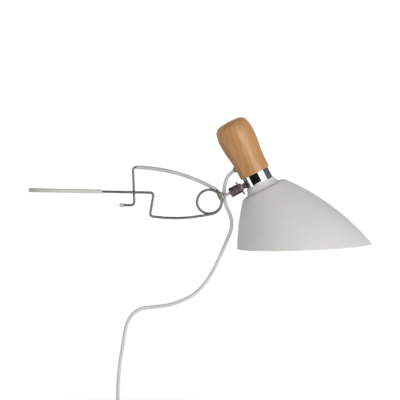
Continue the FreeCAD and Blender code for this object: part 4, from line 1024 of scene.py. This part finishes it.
dome_edge = Vector(handle_profile[-1])
dome_r = dome_edge.x / math.cos(math.radians(CORNER_LEAN))
dome_centre = dome_edge.y - dome_r * math.sin(math.radians(CORNER_LEAN))
handle_profile += arc((0, dome_centre), dome_r, CORNER_LEAN, 90, 8)[1:-1]
handle_profile += [(0, dome_centre + dome_r)]
handle = turned("turned_handle", handle_profile, Matrix(), 160, closed=False)
GLAND_LOCAL = Matrix.Translation((0, 0, 0.0439)) @ Matrix.Rotation(GLAND_TURN, 4, "Z") @ TO_X
SEAT = HANDLE_FOOT - 0.0005
seat = turned(
    "seat",
    [(0, SEAT), (0.0053, SEAT), (0.0053, SEAT + 0.01), (0, SEAT + 0.01)],
    GLAND_LOCAL,
    64,
    closed=False,
)
shank_profile = [(0, 0.004), (0.0041, 0.004), (0.0041, 0.03), (0, 0.03)]
shank = turned("shank", shank_profile, GLAND_LOCAL, 48, closed=False)
handle = carved(handle, seat, shank)
smooth_edges(handle, 25)
shown(handle, WOOD, "head", "wood_handle", place=HEAD_FRAME)

OUT = SEAT + 0.0016
gland_profile = softened(
    [
        (CORD_R, 0.008),
        (0.0041, 0.008),
        (0.0041, SEAT),
        (0.0052, SEAT),
        (0.0052, OUT),
        (0.0038, OUT + 0.0002),
        (CORD_R + 0.0006, OUT + 0.0024),
        (CORD_R, OUT + 0.0024),
    ],
    0.0003,
    3,
)
gland = turned("cord_ferrule", gland_profile, GLAND_LOCAL, 64)
shown(gland, GLAND_PLASTIC, "head", "cord_gland", place=HEAD_FRAME)

# The shade: an outer and an inner surface, both ending on the slanted rim.
SHADE_HOLE, FLAT_R, WALL = 0.019, 0.0289, 0.0012
SHOULDER_R, SHOULDER_LEAN, CURVE_R = 0.010, 50.6, 0.340
RIM_DEPTH, RIM_SLOPE = 0.0974, math.tan(math.radians(25))
lean = math.radians(SHOULDER_LEAN)
shoulder_end = Vector((FLAT_R + SHOULDER_R * math.sin(lean), SHOULDER_R * math.cos(lean) - SHOULDER_R))
curve_centre = shoulder_end - CURVE_R * Vector((math.sin(lean), math.cos(lean)))


def shade_section(radius, angle, inset):
    """The profile at one side of the shade, from the hole to the rim, inset into the sheet."""
    points = [(SHADE_HOLE, -inset), ((SHADE_HOLE + FLAT_R) / 2, -inset), (FLAT_R, -inset)]
    steps = 10
    for step in range(1, steps + 1):
        here = lean * step / steps
        size = SHOULDER_R - inset
        points.append((FLAT_R + size * math.sin(here), size * math.cos(here) - SHOULDER_R))
    size = radius - inset

    def above_rim(at):
        x = (curve_centre.x + size * math.sin(at)) * math.cos(angle)
        return curve_centre.y + size * math.cos(at) + RIM_DEPTH + RIM_SLOPE * x

    low, high = lean, math.radians(84)
    for attempt in range(40):
        middle = (low + high) / 2
        if above_rim(middle) > 0:
            low = middle
        else:
            high = middle
    rim = low
    steps = 44
    for step in range(1, steps + 1):
        here = lean + (rim - lean) * step / steps
        points.append((curve_centre.x + size * math.sin(here), curve_centre.y + size * math.cos(here)))
    return points


def shade_surface():
    segments = 240
    vertices, faces = [], []
    for step in range(segments):
        angle = 2 * math.pi * step / segments
        outer = shade_section(CURVE_R, angle, 0)
        inner = shade_section(CURVE_R, angle, WALL)
        section = outer + inner[::-1]
        turn = Vector((math.cos(angle), math.sin(angle), 0))
        vertices += [turn * radius + Vector((0, 0, height)) for radius, height in section]
    count = len(outer) * 2
    for step in range(segments):
        here = step * count
        beside = (step + 1) % segments * count
        for number in range(count):
            up = (number + 1) % count
            faces.append((here + number, here + up, beside + up, beside + number))
    return mesh_object("spun_shade", vertices, faces, 40)


shade = shade_surface()
bevelled(shade, 0.0003, 3, 60)
shown(shade, SHADE_PAINT, "head", "shade", place=HEAD_FRAME)
shade.data.materials.append(SHADE_INSIDE)
for face in shade.data.polygons:
    middle = Vector((math.hypot(face.center.x, face.center.y), face.center.z))
    axis_part = Vector((face.center.x, face.center.y, 0)).normalized()
    faces_in = face.normal.dot(axis_part) < 0 if middle.y < shoulder_end.y else face.normal.z < 0
    if faces_in:
        face.material_index = 1

HOLDER_R, HOLDER_WALL, HOLDER_DROP, HOLDER_RISE = 0.0189, 0.0018, 0.024, 0.008
skirt = [(HOLDER_R - HOLDER_WALL, -HOLDER_DROP), (HOLDER_R - 0.0004, -HOLDER_DROP)]
thread_low, thread_high = -0.0215, -0.0060
pitch = 0.0015
for turn in range(round((thread_high - thread_low) / pitch)):
    start = thread_low + turn * pitch
    skirt.append((HOLDER_R - 0.0006, start))
    skirt.append((HOLDER_R - 0.0001, start + 0.0005))
    skirt.append((HOLDER_R - 0.0001, start + 0.0009))
skirt += [
    (HOLDER_R, -0.0052),
    (HOLDER_R, HOLDER_RISE),
    (0.0145, HOLDER_RISE),
    (0.0145, 0.012),
    (0.0128, 0.012),
    (0.0128, 0.005),
    (HOLDER_R - HOLDER_WALL, 0.005),
]
shown(
    turned("holder_skirt", skirt, Matrix(), 96),
    BLACK_PLASTIC,
    "head",
    "lampholder_body",
    place=HEAD_FRAME,
)

ring_outline = []
notches, ring_r = 12, 0.0255
for step in range(notches * 12):
    angle = 2 * math.pi * step / (notches * 12)
    phase = (step % 12) / 12
    bite = max(0, math.cos(2 * math.pi * phase)) ** 3 * 0.0013
    ring_outline.append(((ring_r - bite) * math.cos(angle), (ring_r - bite) * math.sin(angle)))
grip = prism("grip_ring", ring_outline, -0.0052, -0.0012)
grip = carved(grip, bar(HOLDER_R - 0.0001, 0.01, (0, 0, -0.008), Z_WAY, 96))
bevelled(grip, 0.0003, 2, 40)
shown(grip, BLACK_PLASTIC, "head", "shade_ring", place=HEAD_FRAME)

# The bulb: a rolled screw cap and a smooth glass ball on a short neck.
BULB_TOP, BULB_TIP, CAP_LENGTH, CAP_R = -0.002, 0.002, 0.024, 0.0131
BULB_LENGTH, BULB_R = 0.078, 0.0225
cap_end = BULB_TOP - BULB_TIP - CAP_LENGTH
cap_profile = [(0, BULB_TOP - BULB_TIP), (0.0085, BULB_TOP - BULB_TIP - 0.0002)]
cap_turns, cap_pitch = 5, 0.00362
thread_from = BULB_TOP - BULB_TIP - 0.0022
for step in range(cap_turns * 10 + 1):
    share = step / 10
    wave = 0.5 + 0.5 * math.cos(2 * math.pi * share)
    cap_profile.append((CAP_R - 0.0011 * wave, thread_from - cap_pitch * share))
cap_profile += [(CAP_R - 0.0003, cap_end + 0.0008), (CAP_R - 0.0004, cap_end), (0, cap_end)]
shown(
    turned("lamp_screw_cap", cap_profile[::-1], Matrix(), 72, closed=False),
    LAMP_CAP,
    "head",
    "bulb_cap",
    place=HEAD_FRAME,
)
bulb_centre = BULB_TOP - BULB_LENGTH + BULB_R
glass_profile = [(0, cap_end + 0.0002), (CAP_R - 0.0008, cap_end), (CAP_R - 0.0008, cap_end - 0.0015)]
neck_end = Vector((BULB_R * math.cos(math.radians(50)), bulb_centre + BULB_R * math.sin(math.radians(50))))
neck_start = Vector(glass_profile[-1])
for step in range(1, 8):
    share = step / 8
    pull = 0.0007 * math.sin(math.pi * share)
    point = neck_start.lerp(neck_end, share)
    glass_profile.append((point.x - pull, point.y))
glass_profile += arc((0, bulb_centre), BULB_R, 50, -90, 36)[:-1] + [(0, bulb_centre - BULB_R)]
shown(
    turned("lamp_ball", glass_profile[::-1], Matrix(), 96, closed=False),
    LAMP_GLASS,
    "head",
    "bulb_glass",
    place=HEAD_FRAME,
)

# ---------------------------------------------------------------------------------------------
# The cord in two lengths, the coil, its tie, the plug and the switch
# ---------------------------------------------------------------------------------------------
upper_line = sampled(UPPER_POINTS)
lower_line = sampled([*LOWER_POINTS, *coil_turns(), *TAIL_POINTS])
upper_cord = tube("cord_head_end", upper_line, CORD_R, 24)
lower_cord = tube("cord_plug_end", lower_line, CORD_R, 24)
finish_on(CORD_PVC, upper_cord, lower_cord)
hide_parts("cord_upper")
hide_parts("cord_lower", "cord_coil", "cord_tail")
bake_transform(upper_cord)
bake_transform(lower_cord)

PLUG_FRAME = Matrix.Translation((PLUG_X, PLUG_Y, PLUG_Z)) @ Matrix.Rotation(math.radians(-90), 4, "Y")
PLUG_W, PLUG_T, PLUG_L = 0.0353, 0.0137, 0.030


def plug_section(height):
    """Half sizes of the plug's body at a height along it: (thickness, width)."""
    share = eased(height / (PLUG_L * 0.5))
    return 0.0052 + (PLUG_T / 2 - 0.0052) * eased(height / 0.012), 0.0068 + (PLUG_W / 2 - 0.0068) * share


def plug_mesh():
    vertices, faces = [], []
    sides = 48
    heights = [0.0, 0.0006] + [PLUG_L * step / 26 for step in range(1, 26)] + [PLUG_L - 0.0005, PLUG_L]
    for number, height in enumerate(heights):
        half_t, half_w = plug_section(height)
        inset = 0.0005 if number in (0, len(heights) - 1) else 0
        for step in range(sides):
            angle = 2 * math.pi * step / sides
            cosine = math.cos(angle)
            sine = math.sin(angle)
            squareness = 5.0
            scale = (abs(cosine) ** squareness + abs(sine) ** squareness) ** (-1 / squareness)
            x = (half_t - inset) * cosine * scale
            y = (half_w - inset) * sine * scale
            vertices.append(Vector((x, y, height)))
    for number in range(len(heights) - 1):
        for step in range(sides):
            after = (step + 1) % sides
            low = number * sides
            faces.append((low + step, low + after, low + sides + after, low + sides + step))
    faces.append(tuple(reversed(range(sides))))
    faces.append(tuple(range(len(vertices) - sides, len(vertices))))
    return mesh_object("plug_shell", vertices, faces, 40)


plug = plug_mesh()
for side in (-1, 1):
    for step in range(5):
        groove = box((0.0012, 0.0012, 0.0012), (0, 0, 0))
        groove_at = Matrix.Translation((0, side * (PLUG_W / 2 + 0.0001), 0.0155 + 0.0026 * step))
        put(groove, groove_at @ Matrix.Diagonal((20, 1, 1, 1)))
        plug = carved(plug, groove)
smooth_edges(plug, 35)
shown(plug, FITTING_PLASTIC, "clip", "plug_body", place=PLUG_FRAME)

pins = []
pin_profile = [(0, 0.024), (0.0020, 0.024), (0.0020, 0.0478)]
pin_profile += [(0.0015, 0.0486), (0.0008, 0.049), (0, 0.049)]
for side in (-1, 1):
    pins.append(
        turned("pin", pin_profile, Matrix.Translation((0, side * 0.0093, 0)), 40, closed=False, sharp_deg=40)
    )
pins_piece = renamed(carved(pins[0], pins[1], operation="UNION"), "contact_pins")
shown(pins_piece, CONTACT, "clip", "plug_pins", place=PLUG_FRAME)

relief_profile = [(CORD_R + 0.0001, 0.0), (0.0048, 0.0)]
ribs = 6
for number in range(ribs):
    top = 0.0048 - (0.0048 - 0.00335) * number / ribs
    low = -0.0012 - 0.0033 * number
    relief_profile += [(top, low), (top - 0.0009, low - 0.0004)]
    relief_profile += [(top - 0.0009, low - 0.0015), (top - 0.0002, low - 0.0019)]
relief_profile += [(0.00335, -0.0215), (0.0030, -0.022), (CORD_R + 0.0001, -0.022)]
shown(
    turned("plug_ribs", relief_profile[::-1], Matrix(), 40, closed=False, sharp_deg=40),
    FITTING_PLASTIC,
    "clip",
    "plug_relief",
    place=PLUG_FRAME,
)

tie_half_w, tie_half_h, tie_t, tie_r = 0.0106, 0.0055, 0.0008, 0.0022


def rounded_box(half_w, half_h, radius, count=6):
    points = []
    for corner, (side_x, side_y) in enumerate(((1, -1), (1, 1), (-1, 1), (-1, -1))):
        centre = (side_x * (half_w - radius), side_y * (half_h - radius))
        points += arc(centre, radius, corner * 90 - 90, corner * 90, count)
    return points


def strap(name, outer, inner, low, high):
    count = len(outer)
    vertices = []
    for ring in (outer, inner):
        for level in (low, high):
            vertices += [Vector((x, level, y)) for x, y in ring]
    faces = []
    for number in range(count):
        after = (number + 1) % count
        faces.append((number, after, count + after, count + number))
        faces.append((2 * count + after, 2 * count + number, 3 * count + number, 3 * count + after))
        faces.append((number, 2 * count + number, 2 * count + after, after))
        faces.append((count + after, 3 * count + after, 3 * count + number, count + number))
    return mesh_object(name, vertices, faces, 40)


tie = strap(
    "coil_tie",
    rounded_box(tie_half_w + tie_t, tie_half_h + tie_t, tie_r + tie_t),
    rounded_box(tie_half_w, tie_half_h, tie_r),
    -0.0025,
    0.0025,
)
tie_place = (
    Matrix.Translation((COIL_X, COIL_Y, FLOOR_Z + 0.0008 + 0.0055))
    @ Matrix.Rotation(math.radians(-20), 4, "Z")
    @ Matrix.Translation((-HANK_R, 0, 0))
)
bevelled(tie, 0.0002, 2, 60)
shown(tie, ROCKER_PLASTIC, "clip", "cord_tie", place=tie_place)

SWITCH_FRAME = Matrix.Translation((SWITCH_X, TAIL_Y, SWITCH_Z))
SW_L, SW_W, SW_H, SW_CORNER = 0.062, 0.024, 0.015, 0.005
outline = rounded_box(SW_L / 2, SW_W / 2, SW_CORNER, 8)


def switch_half(name, low, high):
    half = prism(name, outline, low, high)
    return carved(half, bar(CORD_R + 0.00005, 0.08, (-0.04, 0, 0), X_WAY))


base = switch_half("switch_lower", -SW_H / 2, -0.0001)
bevelled(base, 0.0009, 4, 50)
shown(base, FITTING_PLASTIC, "clip", "switch_base", place=SWITCH_FRAME)
cover = switch_half("switch_upper", 0.0001, SW_H / 2)
bevelled(cover, 0.0009, 4, 50)
cover = carved(
    cover,
    box((0.0187, 0.0097, 0.02), (0, 0, SW_H / 2)),
    box((0.004, 0.0012, 0.0006), (-0.021, 0, SW_H / 2)),
    box((0.004, 0.0012, 0.0006), (0.021, 0, SW_H / 2)),
)
smooth_edges(cover, 35)
shown(cover, FITTING_PLASTIC, "clip", "switch_cover", place=SWITCH_FRAME)
rocker_outline = [(-0.009, -0.001), (-0.003, -0.0022), (0.003, -0.0022), (0.009, -0.001)]
for step in range(17):
    angle = math.pi * step / 16
    rocker_outline.append((0.009 * math.cos(angle), 0.0024 - 0.00055 * math.sin(angle)))
rocker = prism("switch_key", rocker_outline, -0.0045, 0.0045)
put(rocker, Matrix.Rotation(math.radians(90), 4, "X"))
rocker.data.transform(rocker.matrix_world)
rocker.matrix_world = Matrix()
bevelled(rocker, 0.00035, 3, 40)
rocker_lean = Matrix.Rotation(math.radians(-7), 4, "Y")
rocker_place = SWITCH_FRAME @ Matrix.Translation((0, 0, SW_H / 2 - 0.0016)) @ rocker_lean
shown(rocker, ROCKER_PLASTIC, "rocker", "switch_rocker", place=rocker_place)

# ---------------------------------------------------------------------------------------------
# Materials of the CAD nodes that stay
# ---------------------------------------------------------------------------------------------
KEPT = {
    "clamp_screw": FASTENER,
    "knuckle_grub_screw": FASTENER,
    "lock_nut": FASTENER,
    "collar_screws": FASTENER,
    "switch_screws": FASTENER,
    "handle_insert": BRASS,
    "nipple": BRASS,
    "nipple_nut": BRASS,
    "screw_shell": BRASS,
    "terminal_screws": BRASS,
    "centre_contact": CONTACT,
    "bulb_contact": CONTACT,
    "insulator": CERAMIC,
    "lampholder_cap": BLACK_PLASTIC,
    "inner_leads": LEAD_PLASTIC,
}
for name, material in KEPT.items():
    finish_on(material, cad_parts[name])

# ---------------------------------------------------------------------------------------------
# Cord lengths
# ---------------------------------------------------------------------------------------------
def length_of(line):
    return sum((after - before).length for before, after in zip(line, line[1:]))


print("cord lengths", length_of(upper_line), length_of(lower_line))

# ---------------------------------------------------------------------------------------------
# Studio
# ---------------------------------------------------------------------------------------------
def glowing_studio_paper():
    """White studio paper that glows by itself as painted light, with painted shade: its glow is dimmer under
    the lamp and towards its left.
    """
    paper = Shading("glowing_studio_paper", (0.36, 0.36, 0.358), 0.9, 0.0, Specular_IOR_Level=0.1)
    flat = paper.add("ShaderNodeMapping", Scale=(1, 1, 0))
    paper.wire(paper.coordinates, flat.inputs["Vector"])
    reach = paper.add("ShaderNodeVectorMath")
    reach.operation = "LENGTH"
    paper.wire(flat.outputs["Vector"], reach.inputs[0])
    # Painted shadow: the glow is weakest near the middle, under the lamp, and grows outwards.
    glow = paper.add("ShaderNodeMapRange")
    glow.inputs["From Min"].default_value = 0.1
    glow.inputs["From Max"].default_value = 0.36
    glow.inputs["To Min"].default_value = 0.42
    glow.inputs["To Max"].default_value = 0.80
    paper.wire(reach.outputs["Value"], glow.inputs["Value"])
    # Painted shade: the glow also weakens towards the left and front, which darkens the lamp's left side.
    to_left = paper.math("MULTIPLY", paper.position("X"), -0.85)
    to_front = paper.math("MULTIPLY", paper.position("Y"), -0.5)
    leftness = paper.math("DIVIDE", paper.math("ADD", to_left, to_front), reach.outputs["Value"])
    shading = paper.add("ShaderNodeMapRange")
    shading.inputs["From Min"].default_value = 0.15
    shading.inputs["From Max"].default_value = 0.9
    shading.inputs["To Min"].default_value = 1.0
    shading.inputs["To Max"].default_value = 0.46
    paper.wire(leftness, shading.inputs["Value"])
    light = paper.math("MULTIPLY", glow.outputs["Result"], shading.outputs["Result"])
    paper.shader.inputs["Emission Color"].default_value = (1, 1, 1, 1)
    paper.wire(light, paper.shader.inputs["Emission Strength"])
    return paper.material


def studio_bowl():
    """A round pale floor that curves up into a wall on every side."""
    flat_r, curve_r, wall_top, segments = 2.9, 1.0, 3.2, 72
    section = [(0.0, 0.0), (0.5, 0.0), (flat_r, 0.0)]
    for step in range(1, 13):
        angle = math.radians(90 * step / 12)
        section.append((flat_r + curve_r * math.sin(angle), curve_r - curve_r * math.cos(angle)))
    section.append((flat_r + curve_r, wall_top))
    place = Matrix.Translation((0.11, 0, FLOOR_Z))
    return turned("studio_floor", section, place, segments, closed=False, sharp_deg=60)


floor = studio_bowl()
floor.data.materials.append(glowing_studio_paper())


def reflected_only(thing):
    """A card that shows in polished metal, and neither to the camera nor on matt surfaces."""
    thing.visible_camera = False
    thing.visible_diffuse = False
    thing.visible_shadow = False
    thing.visible_transmission = False
    return thing


def glowing(name, colour, strength):
    material = bpy.data.materials.new(name)
    material.use_nodes = True
    shader = material.node_tree.nodes["Principled BSDF"]
    shader.inputs["Base Color"].default_value = (0, 0, 0, 1)
    shader.inputs["Specular IOR Level"].default_value = 0
    shader.inputs["Emission Color"].default_value = (*colour, 1)
    shader.inputs["Emission Strength"].default_value = strength
    return material


COLLAR_MIDDLE = HEAD_FRAME @ Vector((0, 0, 0.018))


def band_card(name, start_deg, end_deg, low_deg, high_deg, radius, material):
    """Part of a drum round the collar, between two bearings; bearing 0 is the lamp's front."""
    across = Vector((math.cos(HEAD_TILT), 0, math.sin(HEAD_TILT)))
    up = Vector((-math.sin(HEAD_TILT), 0, math.cos(HEAD_TILT)))
    toward = Vector((0, -1, 0))
    vertices, faces = [], []
    steps = 24
    for step in range(steps + 1):
        bearing = math.radians(start_deg + (end_deg - start_deg) * step / steps)
        way = toward * math.cos(bearing) + across * math.sin(bearing)
        for lift in (low_deg, high_deg):
            height = math.tan(math.radians(lift))
            vertices.append(COLLAR_MIDDLE + (way + up * height) * radius)
    for step in range(steps):
        low = 2 * step
        faces.append((low, low + 1, low + 3, low + 2))
    card = mesh_object(name, vertices, faces)
    card.data.materials.append(material)
    return reflected_only(card)


BLACK_CARD = glowing("black_card", (1, 1, 1), 0.010)
GREY_CARD = glowing("grey_card", (0.82, 0.93, 0.95), 0.13)
WHITE_CARD = glowing("white_card", (1, 1, 1), 1.1)
band_card("black_card_front", -64, 15, -11, 11, 0.60, BLACK_CARD)
band_card("white_card_left", -90, -64, -11, 11, 0.60, WHITE_CARD)
band_card("grey_card_left", -160, -90, -11, 11, 0.60, GREY_CARD)
band_card("white_card_right", 15, 68, -14, 14, 0.60, WHITE_CARD)
band_card("grey_card_right", 68, 150, -14, 14, 0.60, GREY_CARD)

world = bpy.data.worlds.new("studio")
bpy.context.scene.world = world
world.use_nodes = True
world.node_tree.nodes["Background"].inputs["Color"].default_value = (0.95, 0.97, 1.0, 1)
world.node_tree.nodes["Background"].inputs["Strength"].default_value = 0.2


def area_light(name, place, target, size, power, colour):
    data = bpy.data.lights.new(name, "AREA")
    data.energy = power
    data.color = colour
    data.size = size
    lamp = link(bpy.data.objects.new(name, data))
    lamp.location = place
    lamp.rotation_euler = (Vector(target) - Vector(place)).to_track_quat("-Z", "Y").to_euler()
    lamp.visible_camera = False
    return lamp


MIDDLE = (0.14, 0, -0.05)
area_light("key_soft", (1.3, -2.0, 0.42), MIDDLE, 1.2, 19, (1, 0.99, 0.97))
bpy.context.scene.view_settings.view_transform = "Standard"
bpy.context.scene.view_settings.look = "None"
